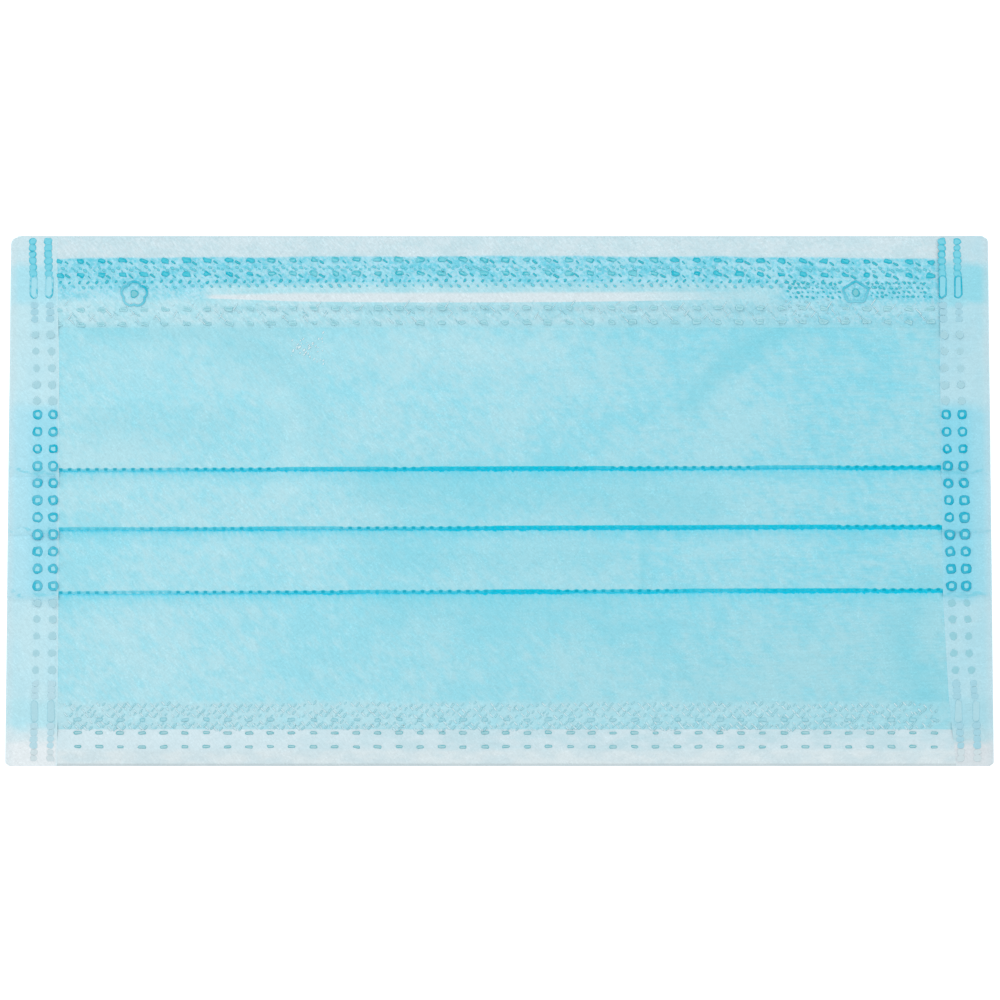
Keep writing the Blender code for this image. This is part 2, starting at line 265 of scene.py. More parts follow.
elastic = elastic_material()
loop_lines = {}
for side, sign in SIDES.items():
    top_end, top_straight, bottom_straight, bottom_end = LOOP_ENDS[side]
    route = [top_end, top_straight, *LOOP_ROUTES[side], bottom_straight, bottom_end]
    line = smooth_route(route, LOOP_STATIONS) * MM * (sign, 1)
    loop_lines[side] = line
    ahead = np.gradient(line, axis=0)
    ahead /= np.linalg.norm(ahead, axis=1)[:, None]
    across = np.stack([-ahead[:, 1], ahead[:, 0]], axis=1)
    section = []
    upper = np.linspace(-1, 1, RIB_POINTS * LOOP_RIBS + 1)
    for share in [*upper, *reversed(upper)]:
        edge = 1 - abs(share) ** LOOP_EDGE_POWER
        rib = LOOP_RIB_DEPTH * (0.5 + 0.5 * math.cos(math.pi * LOOP_RIBS * share))
        section.append((share * LOOP_WIDTH / 2, (LOOP_THICKNESS / 2 - LOOP_RIB_DEPTH + rib) * edge))
    flip = len(upper)
    rings = []
    for centre, sideways in zip(line, across):
        ring = []
        for index, (out, half) in enumerate(section):
            level = LOOP_THICKNESS / 2 + (half if index < flip else -half)
            ring.append((centre[0] + sideways[0] * out, centre[1] + sideways[1] * out, level))
        rings.append(ring)
    loop = loft(f"ear_loop_elastic_{side}", rings, elastic)
    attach(loop, "root")
    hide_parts(f"ear_loop_{side}")


# Outer ply and lining
# The mask's body is two nonwoven plies, blue outside and white inside, with a hidden filter
# between them. They are pleated together and welded flat along the sides.
HALF_HEIGHT = 46.9 * MM
TOP_WIDTH = 172.9 * MM
BOTTOM_WIDTH = 175.0 * MM
CLOTH = 1.0 * MM
GAP = 0.3 * MM
PANEL_LEVEL = 1.8 * MM
LAYER_STEP = CLOTH + GAP
FOLD_RADIUS = LAYER_STEP / 2
FOLD_RISE = 0.6 * MM
SEAM_LENGTH = 2.6 * MM
TAPE_WIDTH = 8.8 * MM
TOP_HEM_FRONT = 16.3 * MM
BOTTOM_HEM_FRONT = 6.6 * MM
# Heights between which the cloth is folded
FOLDED_FROM = -20.0 * MM
FOLDED_TO = 22.0 * MM
# Fold line's place down the mask, depth of its hidden pleat and length of its ramp, in shares of
# the height
PLEATS = ((0.4405, 0.120, 0.038), (0.5525, 0.069, 0.036), (0.6725, 0.074, 0.038))
TAPE_WIDTHS = {
    "left": ((0.0, 0.93), (0.25, 1.0), (0.5, 1.03), (1.0, 1.05)),
    "right": ((0.0, 0.97), (0.3, 1.0), (0.68, 0.99), (0.88, 0.89), (1.0, 0.76)),
}
PLY_THICKNESS = 0.42 * MM
PLY_OFFSET = 0.27 * MM
PLY_COLUMNS = 180
# Shares of its modelled height that the first layer and the folded layers above it keep, in the
# open and where the side tapes press
OPEN_PRESS = (1.0, 0.28)
SEAM_PRESS = (0.92, 0.22)
PANEL_TOP = PANEL_LEVEL + PLY_OFFSET + PLY_THICKNESS / 2
# Where the vivid line along a fold begins and ends, above the fold's nose
FOLD_LINE_FOOT = -0.30 * MM
FOLD_LINE_TOP = 0.50 * MM
FOLD_LINE_GROWS = (-75 * MM, 0.0)
FOLD_SOFTNESS = 0.16 * MM
FOLD_THINNING = 0.35 * MM
# How far the painted light under each fold reaches: the emission that lifts the shadow under the nose,
# and the painted glow below it
FOLD_SHADE = 0.28 * MM
HALO_FADE = 1.1 * MM
RIDGE_HEIGHT = 0.10 * MM
RIDGE_WIDTH = 1.9 * MM
# Waves and crumples of the loose cloth: how many there are in a metre along x and y, the slice of
# the noise that they come from, and their height
LOOSE_WAVES = ((45, 60, 0.3, 0.10 * MM), (150, 260, 4.1, 0.03 * MM))
HEM_HOLD = 1.0 * MM
HEM_RELEASE = 3 * MM
# Where the cloth's look changes: from its left half to its right half, down to a greyer foot, and
# into the hatched band above the bottom hem
LEFT_TO_RIGHT = (-70 * MM, 80 * MM)
TICKS_TO_RIGHT = (-30 * MM, 70 * MM)
GREYED_FOOT = (-12 * MM, -30 * MM)
HATCHED_FOOT = (-35.0 * MM, -36.2 * MM)
# Deep and pale tints of the blue cloth, towards the left and the right
BLUE_LEFT = (tint(156, 221, 235), tint(180, 225, 235))
BLUE_RIGHT = (tint(136, 214, 231), tint(166, 219, 231))
FOLD_TINT = tint(8, 197, 224)
FOLD_DOT_TINT = tint(6, 168, 194)
# Painted glow below each fold, and the colour of the emission painted in to lift the shadow under each
# fold's nose
HALO_TINT = tint(98, 213, 233)
FOLD_GLOW = (0.006, 0.20, 0.26)
HATCH_TINT = tint(186, 225, 234)
FOLD_DOT_PITCH = 1.6 * MM
# Tint of the painted shade along the creases and of the darker patches
CREASE_SHADE_AND_PATCH_TINT = tint(126, 209, 225)
GREYED_TINT = tint(158, 210, 219)
THIN_TINT = tint(192, 229, 237)
# Creases and patches in the open cloth: points by pixel, width and height in millimetres, and how
# much the cloth is tinted darker along them, or below 0 how much it is paler. The darker tint along
# the creases is painted shade.
CREASES = (
    (((262, 330), (300, 342), (330, 380), (348, 420), (356, 462)), 1.6, 0.14, 0.0),
    (((230, 345), (262, 352), (290, 385), (305, 430)), 4.0, 0.0, 0.35),
    (((792, 324), (740, 352), (712, 378), (690, 405)), 2.0, -0.04, 0.55),
    (((643, 466), (645, 530), (642, 598)), 0.8, 0.10, 0.45),
    (((655, 605), (672, 655), (712, 697)), 1.0, 0.07, 0.2),
    (((925, 585), (900, 640), (925, 690)), 3.5, 0.0, 0.45),
    (((95, 334), (180, 334), (300, 331)), 1.8, 0.0, 0.35),
    (((370, 486), (460, 492), (560, 490), (640, 498), (705, 505)), 4.5, 0.0, 0.40),
    (((610, 508), (690, 508)), 3.0, 0.0, 0.35),
    (((370, 548), (450, 558), (540, 556), (600, 556)), 3.8, 0.0, 0.32),
    (((380, 608), (470, 612), (560, 611), (620, 628)), 4.0, 0.0, 0.32),
    (((95, 425), (150, 428), (215, 425)), 3.5, 0.0, 0.22),
    (((280, 395), (297, 430), (288, 480)), 3.5, 0.0, -0.5),
    (((110, 368), (150, 372)), 4.0, 0.0, -0.3),
    (((310, 350), (420, 348), (560, 352)), 3.5, 0.0, -0.25),
)


def share_down(y):
    """How far down the mask a height lies, 0 at the top edge and 1 at the bottom."""
    return np.clip(0.5 - np.asarray(y) / (2 * HALF_HEIGHT), 0, 1)


def side_x(y):
    """Distance of the mask's straight side edge from its middle."""
    return (TOP_WIDTH + (BOTTOM_WIDTH - TOP_WIDTH) * share_down(y)) / 2


def tape_inner_x(side, y):
    """Distance of a side tape's inner edge from the middle of the mask."""
    shares, widths = zip(*TAPE_WIDTHS[side])
    return side_x(y) - TAPE_WIDTH * np.interp(share_down(y), shares, widths)


def pleated_line(across):
    """The plies' centre line down the mask, where across runs from -1 at the left to 1."""
    low, high = PANEL_LEVEL, PANEL_LEVEL + 2 * LAYER_STEP
    edge = HALF_HEIGHT - CLOTH - GAP
    points = [(y, low) for y in np.linspace(edge, FOLDED_TO, 24)]
    for down, depth, ramp in PLEATS:
        fold = 2 * HALF_HEIGHT * (0.5 - down) + across * FOLD_RISE / 2
        hidden = fold + 2 * HALF_HEIGHT * depth
        for t in np.linspace(0, 1, 11):
            y = hidden + 2 * HALF_HEIGHT * ramp * (1 - t)
            points.append((y, low + (high - low) * (0.5 - 0.5 * math.cos(math.pi * t))))
        turn = fold + CLOTH / 2 + FOLD_RADIUS
        points += [(y, high) for y in np.linspace(hidden, turn, 9)[1:-1]]
        for angle in np.radians(np.linspace(90, 270, 13)):
            points.append((turn + FOLD_RADIUS * math.cos(angle),
                           high - FOLD_RADIUS + FOLD_RADIUS * math.sin(angle)))
        back = hidden - CLOTH / 2 - FOLD_RADIUS
        for angle in np.radians(np.linspace(90, -90, 9)):
            points.append((back + FOLD_RADIUS * math.cos(angle),
                           low + FOLD_RADIUS + FOLD_RADIUS * math.sin(angle)))
    points += [(y, low) for y in np.linspace(FOLDED_FROM, -edge, 24)]
    return np.array(points)


def offset_ring(line, offset, thickness):
    """The closed outline of a ply, of one thickness or one for each point, beside a centre line."""
    thickness = np.broadcast_to(thickness, len(line))[:, None]
    runs = np.diff(line, axis=0)
    runs /= np.linalg.norm(runs, axis=1)[:, None]
    normals = np.stack([runs[:, 1], -runs[:, 0]], axis=1)
    before = np.concatenate([normals[:1], normals])
    after = np.concatenate([normals, normals[-1:]])
    miter = (before + after) / (1 + (before * after).sum(axis=1))[:, None]
    near = line + miter * (offset + thickness / 2)
    far = line + miter * (offset - thickness / 2)
    return np.concatenate([near, far[::-1]])


def seam_freedom(x, y):
    """0 where a side tape presses the cloth, 1 in the open."""
    inner = np.where(x < 0, tape_inner_x("left", y), tape_inner_x("right", y))
    free = np.clip((inner - np.abs(x)) / SEAM_LENGTH, 0, 1)
    return free * free * (3 - 2 * free)


def pressed(x, y, level):
    """The height that a modelled level of the pleated cloth is pressed down to."""
    free = seam_freedom(x, y)
    first, above = [held + (loose - held) * free for held, loose in zip(SEAM_PRESS, OPEN_PRESS)]
    base = PANEL_LEVEL - CLOTH / 2
    return base + np.minimum(level - base, CLOTH) * first + np.maximum(level - base - CLOTH, 0) * above


def distance_to(line, points):
    """Distance of each point (x, y) from a route."""
    nearest = np.full(len(points), np.inf)
    for a, b in zip(line, line[1:]):
        run = b - a
        t = np.clip(((points - a) @ run) / (run @ run), 0, 1)
        nearest = np.minimum(nearest, np.linalg.norm(points - a - t[:, None] * run, axis=1))
    return nearest


def open_field(y):
    """0 where the top and bottom hems hold the cloth, 1 between them."""
    above = np.clip((HALF_HEIGHT - TOP_HEM_FRONT - HEM_HOLD - y) / HEM_RELEASE, 0, 1)
    below = np.clip((y + HALF_HEIGHT - BOTTOM_HEM_FRONT - HEM_HOLD) / HEM_RELEASE, 0, 1)
    return above * below


def drape(points):
    """How far the loose cloth stands off its flat level: soft waves, and ridges over the loops."""
    lift = np.zeros(len(points))
    for index, (x, y) in enumerate(points):
        lift[index] = sum(height * noise.noise(Vector((x * often_x, y * often_y, slice_z)))
                          for often_x, often_y, slice_z, height in LOOSE_WAVES)
    for line in loop_lines.values():
        lift += RIDGE_HEIGHT * np.exp(-((distance_to(line[::5], points) / RIDGE_WIDTH) ** 2))
    for line, (_, width, height, _) in zip(crease_lines, CREASES):
        lift += height * MM * np.exp(-((distance_to(line, points) / (width * MM)) ** 2))
    return lift


def from_pixel(across, down):
    """The point of the mask that the camera shows at a pixel."""
    return (VIEW_CENTRE[0] + (across - IMAGE_PIXELS / 2) / PIXELS_PER_METRE,
            VIEW_CENTRE[1] - (down - IMAGE_PIXELS / 2) / PIXELS_PER_METRE)


crease_lines = [smooth_route([from_pixel(*pixel) for pixel in crease[0]], 14) for crease in CREASES]


def ply(name, offset, material):
    """One pleated ply, pressed flat where the side tapes hold it."""
    across = np.linspace(-1, 1, PLY_COLUMNS)
    rings = []
    for share in across:
        ys, level = offset_ring(pleated_line(share), offset, PLY_THICKNESS).T
        x = share * (side_x(ys) - CLOTH - GAP)
        rings.append(np.stack([x, ys, pressed(x, ys, level)], axis=1))
    rings = np.array(rings)
    flat = rings.reshape(-1, 3)
    flat[:, 2] += drape(flat[:, :2]) * seam_freedom(flat[:, 0], flat[:, 1]) * open_field(flat[:, 1])
    return loft(name, rings, material)


def fibres(place):
    """Spun fibres and bond ticks, as a relief about 0.5."""
    left = place.noise(1.0 * MM, 0.3 * MM, -52, 3)
    right = place.noise(0.8 * MM, 0.28 * MM, 38, 2)
    lengthwise = place.noise(2.2 * MM, 0.3 * MM, 2, 3)
    grain = place.noise(0.32 * MM, 0.32 * MM, 0, 2)
    specks = grain.rise(0.60, 0.68) * place.noise(5 * MM, 4 * MM, -40, 2).rise(0.45, 0.6)
    loose = abs(place.noise(1.9 * MM, 0.9 * MM, -48, 1) - 0.5).rise(0.035, 0.0)
    sunken = abs(place.noise(1.7 * MM, 1.0 * MM, 30, 1) - 0.5).rise(0.03, 0.0)
    towards_right = place.xyz()[0].rise(*TICKS_TO_RIGHT)
    ticks = left * (1 - towards_right * 0.7) + lengthwise * (towards_right * 0.7)
    return ticks * 1.1 + right * 0.5 + grain * 0.7 - 0.67 + specks * 0.5 + loose * 0.3 - sunken * 0.25


def ply_material():
    """Blue spunbond: cloudy where the fibres bunch, and vivid where it is folded or bonded."""
    material, shader, place = material_named("blue_spunbond", 0.85)
    x, y, _ = place.xyz()
    across = x.rise(*LEFT_TO_RIGHT)
    clouds = place.noise(28 * MM, 18 * MM, 20, 2) * 0.4 + place.noise(7 * MM, 5 * MM, -35, 2) * 0.2
    clots = place.noise(2.2 * MM, 1.5 * MM, -40, 3) * 0.4
    slanted = place.noise(1.6 * MM, 0.5 * MM, -50, 2)
    streaks = across.blend_value(slanted, place.noise(4 * MM, 0.45 * MM, 1, 3))
    mass = (clouds + clots + (streaks - 0.5) * 0.2).rise(0.37, 0.63)
    colour = across.blend(mass.blend(*BLUE_LEFT), mass.blend(*BLUE_RIGHT))
    colour = (across * y.rise(*GREYED_FOOT) * 0.3).blend(colour, GREYED_TINT)
    hatch = place.noise(2.5 * MM, 1.2 * MM, 40, 2).rise(0.4, 0.6) * 0.4 + 0.55
    hatch = hatch * y.rise(*HATCHED_FOOT) * (1 - across * 0.5)
    colour = hatch.blend(colour, HATCH_TINT)
    uneven = clots * 1.5 + 0.7
    # Painted shade along the creases, and darker patches, from their stored strength
    colour = (place.named("crease_shade_and_dark_patch") * uneven).blend(colour, CREASE_SHADE_AND_PATCH_TINT)
    colour = (place.named("thin") * uneven).blend(colour, THIN_TINT)
    dotted = place.noise(16 * MM, 9 * MM, 0, 1).rise(0.47, 0.57)
    beat = abs((x / FOLD_DOT_PITCH).math("FRACT") - 0.5)
    fray = place.noise(0.7 * MM, 0.5 * MM, -40, 2) - 0.5
    fringe = place.noise(0.6 * MM, 1.8 * MM, 20, 2).rise(0.35, 0.65) * 0.65 + 0.5
    weight = x.rise(*FOLD_LINE_GROWS) * 0.6 + place.noise(22 * MM, 9 * MM, 0, 1).rise(0.40, 0.58) * 0.4
    glow = x * 0
    for down, _, _ in PLEATS:
        height = 2 * HALF_HEIGHT * (0.5 - down)
        off = y - x * (FOLD_RISE / 2 / float(side_x(height))) - height
        under = off.math("MINIMUM", 0.0)
        # Painted glow: a cyan tint below each fold, for light through the thin cloth, laid over the
        # shade that falls under the fold
        below = off.rise(0.05 * MM, 0.0) * (under * (1 / HALO_FADE)).math("EXPONENT")
        colour = (below * fringe * 0.85).math("MINIMUM", 1.0).blend(colour, HALO_TINT)
        top = off + fray * (0.25 * MM) + beat * (1 - dotted) * (0.5 * MM)
        foot = off + fray * (0.7 * MM) - beat * dotted * (0.3 * MM) - (1 - weight) * FOLD_THINNING
        line = top.rise(FOLD_LINE_TOP + FOLD_SOFTNESS, FOLD_LINE_TOP)
        line = line * foot.rise(FOLD_LINE_FOOT - FOLD_SOFTNESS, FOLD_LINE_FOOT)
        line = line * (weight * 0.45 + 0.5 + fray * 0.5)
        colour = line.math("MINIMUM", 1.0).blend(colour, FOLD_TINT)
        dot = abs(off - FOLD_LINE_TOP * 0.5).rise(0.30 * MM, 0.14 * MM) * beat.rise(0.27, 0.13)
        colour = (dot * (0.85 - dotted * 0.6)).blend(colour, FOLD_DOT_TINT)
        # Painted light: an emission just under each fold's nose lifts the shadow that falls there
        shade = off.rise(0.12 * MM, -0.05 * MM) * (under * (1 / FOLD_SHADE)).math("EXPONENT")
        glow = glow + shade
    finish_cloth(shader, colour, fibres(place), 0.17)
    # The painted emission that offsets the shadows under the folds
    glow = glow.math("MINIMUM", 1.0).blend((0.0, 0.0, 0.0), FOLD_GLOW)
    place.tree.links.new(glow.socket, shader.inputs["Emission Color"])
    shader.inputs["Emission Strength"].default_value = 1.0
    return material


def lining_material():
    """White spunbond against the face."""
    material, shader, place = material_named("white_lining", 0.85)
    clouds = place.noise(12 * MM, 8 * MM, 0, 3).rise(0.35, 0.65)
    colour = clouds.blend(tint(216, 226, 231), tint(232, 238, 241))
    finish_cloth(shader, colour, fibres(place), 0.14)
    return material


def store(piece, name, values):
    """Keeps a number for each of a piece's points, for its material."""
    attribute = piece.data.attributes.new(name, "FLOAT", "POINT")
    attribute.data.foreach_set("value", np.asarray(values, np.float32))


def places(piece):
    """A piece's points as an array."""
    return np.array([vertex.co for vertex in piece.data.vertices])


def mark_crease_shade(piece):
    """Stores how strongly the painted crease shade and the darker and paler patches tint each point."""
    points = places(piece)[:, :2]
    crease_shade_and_dark_patch = np.zeros(len(points))
    thin = np.zeros(len(points))
    for line, (_, width, _, amount) in zip(crease_lines, CREASES):
        near = np.exp(-((distance_to(line, points) / (width * MM)) ** 2))
        crease_shade_and_dark_patch = np.maximum(crease_shade_and_dark_patch, amount * near)
        thin = np.maximum(thin, -amount * near)
    store(piece, "crease_shade_and_dark_patch", crease_shade_and_dark_patch)
    store(piece, "thin", thin)


outer_ply = ply("outer_ply", PLY_OFFSET, ply_material())
mark_crease_shade(outer_ply)
lining = ply("lining", -PLY_OFFSET, lining_material())
cut_length = float(np.linalg.norm(np.diff(pleated_line(0), axis=0), axis=1).sum())
for piece, slot in ((outer_ply, "blue_cloth"), (lining, "white_cloth")):
    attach(piece, "root")
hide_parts("pleated_panel")


# Nose wire
# A plastic-covered wire, pressed flat, lies loose between the blue ply and the top hem. Its ends
# are cut square and its edges are rounded.
WIRE_LENGTH = 101.0 * MM
WIRE_WIDTH = 3.0 * MM
WIRE_THICKNESS = 0.45 * MM
WIRE_MIDDLE = (-0.8 * MM, 36.0 * MM)
HEM_THICKNESS = 0.28 * MM
SKIN_GAP = 0.02 * MM

wire_cover, shader, place = material_named("wire_cover", 0.45)
scuffs = place.noise(9 * MM, 0.4 * MM, detail=3)
colour = scuffs.rise(0.35, 0.7).blend(tint(222, 226, 228), tint(238, 240, 241))
finish_cloth(shader, colour, scuffs, 0.1)

rings = []
for x in np.linspace(-WIRE_LENGTH / 2, WIRE_LENGTH / 2, 60):
    end = min(1.0, (WIRE_LENGTH / 2 - abs(x)) / (0.4 * MM) + 0.55)
    ring = []
    for angle in np.linspace(0, 2 * math.pi, 24, endpoint=False):
        wide = math.copysign(abs(math.cos(angle)) ** 0.35, math.cos(angle)) * WIRE_WIDTH / 2
        tall = math.copysign(abs(math.sin(angle)) ** 0.7, math.sin(angle)) * WIRE_THICKNESS / 2
        level = PANEL_TOP + SKIN_GAP + WIRE_THICKNESS / 2
        ring.append((WIRE_MIDDLE[0] + x, WIRE_MIDDLE[1] + wide * end, level + tall * end))
    rings.append(ring)
wire = loft("nose_wire_flat", rings, wire_cover)
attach(wire, "root")
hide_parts("nose_wire")


# Top and bottom hems
# The lining is turned over both long edges to the front and bonded there in rows. The top hem is
# a pocket over the wire, and the blue ply tints it where the two are bonded.
TOP_HEM_BACK = 5.0 * MM
BOTTOM_HEM_BACK = 4.8 * MM
HEM_COLUMNS = 220
HEM_EDGE_LENGTH = 2.4 * MM
TOP_ROWS = (4.7 * MM, 7.2 * MM, 13.1 * MM, 15.6 * MM)
BOTTOM_ROWS = (3.5 * MM, 5.9 * MM)
ROW_PRESS = 0.05 * MM
ROW_WIDTH = 0.9 * MM
WIRE_SLOPE = 1.3 * MM
EDGE_THICKNESS = 0.02 * MM
EDGE_LENGTH = 0.7 * MM
EDGE_DIP = 0.06 * MM
HEM_TURN = 0.5 * MM
WHITE_STRIP = 3.75 * MM
BONDED_END = 8.4 * MM
BONDED_FAR_END = 10.9 * MM
WIRE_HIGHLIGHT = 0.55 * MM
WIRE_HIGHLIGHT_ABOVE = 0.5 * MM
# How far the band of bonds sags between its ends, and where the painted highlight along the wire
# lies: its distance below the top edge at the left end, the middle and the right end
BAND_SAG = 0.55 * MM
WIRE_BELOW = (10.75 * MM, 11.15 * MM, 10.40 * MM)
# Where the top hem's tints change to those of the right half, and the heights where the bottom
# hem's whiter margin and the painted shade along its turned edge begin
BONDED_TO_RIGHT = (-60 * MM, 70 * MM)
MARGIN_FOOT = (-43.5 * MM, -44.6 * MM)
SHADED_EDGE_FOOT = (-46.2 * MM, -46.7 * MM)
# Behind the mask the hems and tapes lie on the white lining, and nothing blue shines through them
BACK_TINT = tint(222, 232, 237)
BACK_START = 1.7 * MM
BACK_FULL = 1.3 * MM


def front_top(x, y):
    """Height of the pleated cloth's front surface, without its loose waves."""
    across = x / side_x(y)
    low, high = PANEL_LEVEL, PANEL_LEVEL + 2 * LAYER_STEP
    level = np.full(np.broadcast(x, y).shape, low)
    for down, depth, ramp in PLEATS:
        fold = 2 * HALF_HEIGHT * (0.5 - down) + across * FOLD_RISE / 2
        hidden = fold + 2 * HALF_HEIGHT * depth
        climb = np.clip((hidden + 2 * HALF_HEIGHT * ramp - y) / (2 * HALF_HEIGHT * ramp), 0, 1)
        step = low + (high - low) * (0.5 - 0.5 * np.cos(np.pi * climb))
        level = np.where(y >= fold, np.maximum(level, step), level)
    return pressed(x, y, level + PLY_OFFSET + PLY_THICKNESS / 2)


def hem_lift(x, down, rows, over_wire):
    """Height of a hem's front leaf over the cloth: over the wire, and pressed along its rows."""
    lift = 0.12 * MM * (1 - np.exp(-np.abs(down) / MM))
    for row in rows:
        lift -= ROW_PRESS * np.exp(-(((down - row) / ROW_WIDTH) ** 2))
    if over_wire:
        off = np.abs(down - (HALF_HEIGHT - WIRE_MIDDLE[1])) - WIRE_WIDTH / 2
        beside = 1 - np.clip(off / WIRE_SLOPE, 0, 1)
        beyond = 1 - np.clip((abs(x - WIRE_MIDDLE[0]) - WIRE_LENGTH / 2) / (2 * MM), 0, 1)
        lift = np.maximum(lift, (WIRE_THICKNESS + SKIN_GAP) * (beside * beyond) ** 1.3)
    return lift


def hem(name, end, front, back, rows, over_wire, material):
    """A hem wrapped round one long edge: end is 1 at the top and -1 at the bottom."""
    rings = []
    edge = HALF_HEIGHT
    for share in np.linspace(-1, 1, HEM_COLUMNS):
        x = share * (side_x(end * edge) - CLOTH - GAP)
        down = np.concatenate([np.linspace(front, 0.9 * MM, 60), [0.7 * MM, HEM_TURN]])
        y = end * (edge - down)
        rest = np.clip((front - down) / HEM_EDGE_LENGTH, 0, 1)
        thick = EDGE_THICKNESS + (HEM_THICKNESS - EDGE_THICKNESS) * rest
        lift = hem_lift(x, down, rows, over_wire) * seam_freedom(x, y) * rest
        level = front_top(x, y) + SKIN_GAP + thick / 2 + lift
        level -= EDGE_DIP * (1 - np.clip((front - down) / EDGE_LENGTH, 0, 1))
        line = [(end * place, high) for place, high in zip(edge - down, level)]
        top, bottom = level[-1], PANEL_LEVEL - CLOTH / 2 - SKIN_GAP - HEM_THICKNESS / 2
        middle, reach = (top + bottom) / 2, (top - bottom) / 2
        for angle in np.radians(np.linspace(75, -75, 9)):
            out = edge - HEM_TURN + (HEM_TURN - HEM_THICKNESS / 2) * math.cos(angle)
            line.append((end * out, middle + reach * math.sin(angle)))
        line += [(end * (edge - place), bottom) for place in np.linspace(HEM_TURN, back, 10)]
        thick = np.concatenate([thick, np.full(len(line) - len(thick), HEM_THICKNESS)])
        section = offset_ring(np.array(line), 0, thick)
        xs = np.sign(share) * np.minimum(abs(x), side_x(section[:, 0]) - CLOTH - GAP)
        rings.append(np.stack([xs, section[:, 0], section[:, 1]], axis=1))
    return loft(name, rings, material)


def top_hem_material():
    """White lining, tinted by the blue ply where the two are bonded, with a painted highlight along the
    wire.
    """
    material, shader, place = material_named("top_hem", 0.85)
    x, y, z = place.xyz()
    wobble = (place.noise(9 * MM, 4 * MM, 0, 2) - 0.5) * (0.5 * MM)
    middle = 1 - (x * x) * (1 / side_x(0) ** 2)
    from_top = y * -1 + HALF_HEIGHT
    down = from_top + middle * BAND_SAG + wobble
    blotch = place.noise(5 * MM, 2.5 * MM, 0, 3) * 0.6 + place.noise(1.2 * MM, 0.4 * MM, -50, 2) * 0.4
    mass = blotch.rise(0.38, 0.62)
    strip = mass.blend(tint(196, 223, 231), tint(208, 228, 235))
    bonded = mass.blend(tint(126, 211, 230), tint(167, 223, 237))
    cells = place.noise(0.55 * MM, 0.5 * MM, 0, 2)
    bonded = (cells.rise(0.54, 0.64) * 0.6).blend(bonded, tint(178, 223, 244))
    bonded = (cells.rise(0.46, 0.36) * 0.6).blend(bonded, tint(98, 204, 226))
    to_right = x.rise(*BONDED_TO_RIGHT)
    pale = to_right.blend(mass.blend(tint(172, 223, 234), tint(192, 229, 238)),
                          mass.blend(tint(156, 215, 229), tint(177, 221, 232)))
    colour = down.rise(WHITE_STRIP + 0.2 * MM, WHITE_STRIP + 0.6 * MM).blend(strip, bonded)
    over_wire = abs(x - WIRE_MIDDLE[0]).rise(WIRE_LENGTH / 2 + 1.5 * MM, WIRE_LENGTH / 2 - 1 * MM)
    near_end = down.rise(BONDED_END, BONDED_END + 1.2 * MM)
    far_end = down.rise(BONDED_FAR_END, BONDED_FAR_END + 1.4 * MM) * 0.6 + down.rise(
        BONDED_END, BONDED_END + 3 * MM) * (x.rise(20 * MM, -40 * MM) * 0.4)
    colour = (near_end * over_wire + far_end * (1 - over_wire)).math("MINIMUM", 1.0).blend(colour, pale)
    # Painted highlight along the ridge of the wire under the hem
    left, centre, right = WIRE_BELOW
    share = (x - WIRE_MIDDLE[0]) / (WIRE_LENGTH / 2)
    line = share * ((right - left) / 2) + share * share * ((right + left) / 2 - centre) + centre
    off = from_top - line
    half = (share + 1).rise(0.0, 0.35) * (WIRE_HIGHLIGHT * 0.5) + WIRE_HIGHLIGHT * 0.5
    upper = half + (1 - share * share) * WIRE_HIGHLIGHT_ABOVE
    light = (off + upper).rise(-0.4 * MM, 0.3 * MM) * (off - half).rise(0.15 * MM, 0.0)
    fade = (x - WIRE_MIDDLE[0]).rise(WIRE_LENGTH / 2 - 1 * MM, WIRE_LENGTH / 2 - 32 * MM)
    light = light * fade * over_wire * 0.92
    colour = light.blend(colour, tint(219, 231, 236))
    # Painted shade along the top edge, where the cloth turns over
    rim = from_top.rise(0.5 * MM, 0.1 * MM) * 0.5
    colour = rim.blend(colour, tint(178, 204, 212))
    beneath = to_right.blend(tint(168, 223, 235), tint(153, 217, 231))
    ending = (from_top + wobble).rise(TOP_HEM_FRONT - 1.3 * MM, TOP_HEM_FRONT)
    colour = (ending * 0.8).blend(colour, beneath)
    colour = z.rise(BACK_START, BACK_FULL).blend(colour, BACK_TINT)
    finish_cloth(shader, colour, fibres(place), 0.2)
    return material


def bottom_hem_material():
    """White lining over the blue ply, whiter along the margin, with painted shade along its turned edge.
    """
    material, shader, place = material_named("bottom_hem", 0.85)
    x, y, z = place.xyz()
    blotch = place.noise(5 * MM, 2.5 * MM, 0, 3).rise(0.38, 0.62)
    strip = blotch.blend(tint(194, 222, 230), tint(206, 227, 234))
    strip = (x.rise(0.0, -60 * MM) * 0.7).blend(strip, tint(213, 233, 240))
    margin = blotch.blend(tint(206, 225, 231), tint(216, 230, 234))
    colour = y.rise(*MARGIN_FOOT).blend(strip, margin)
    # Painted shade along the turned bottom edge
    colour = (y.rise(*SHADED_EDGE_FOOT) * 0.6).blend(colour, tint(186, 200, 205))
    colour = z.rise(BACK_START, BACK_FULL).blend(colour, BACK_TINT)
    finish_cloth(shader, colour, fibres(place), 0.14)
    return material


top_hem = hem("top_hem_pocket", 1, TOP_HEM_FRONT, TOP_HEM_BACK, TOP_ROWS, True, top_hem_material())
bottom_hem = hem("bottom_hem_turn", -1, BOTTOM_HEM_FRONT, BOTTOM_HEM_BACK, BOTTOM_ROWS, False,
                 bottom_hem_material())
for piece, node, width in ((top_hem, "top_hem", TOP_HEM_FRONT + TOP_HEM_BACK),
                           (bottom_hem, "bottom_hem", BOTTOM_HEM_FRONT + BOTTOM_HEM_BACK)):
    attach(piece, "root")
    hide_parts(node)


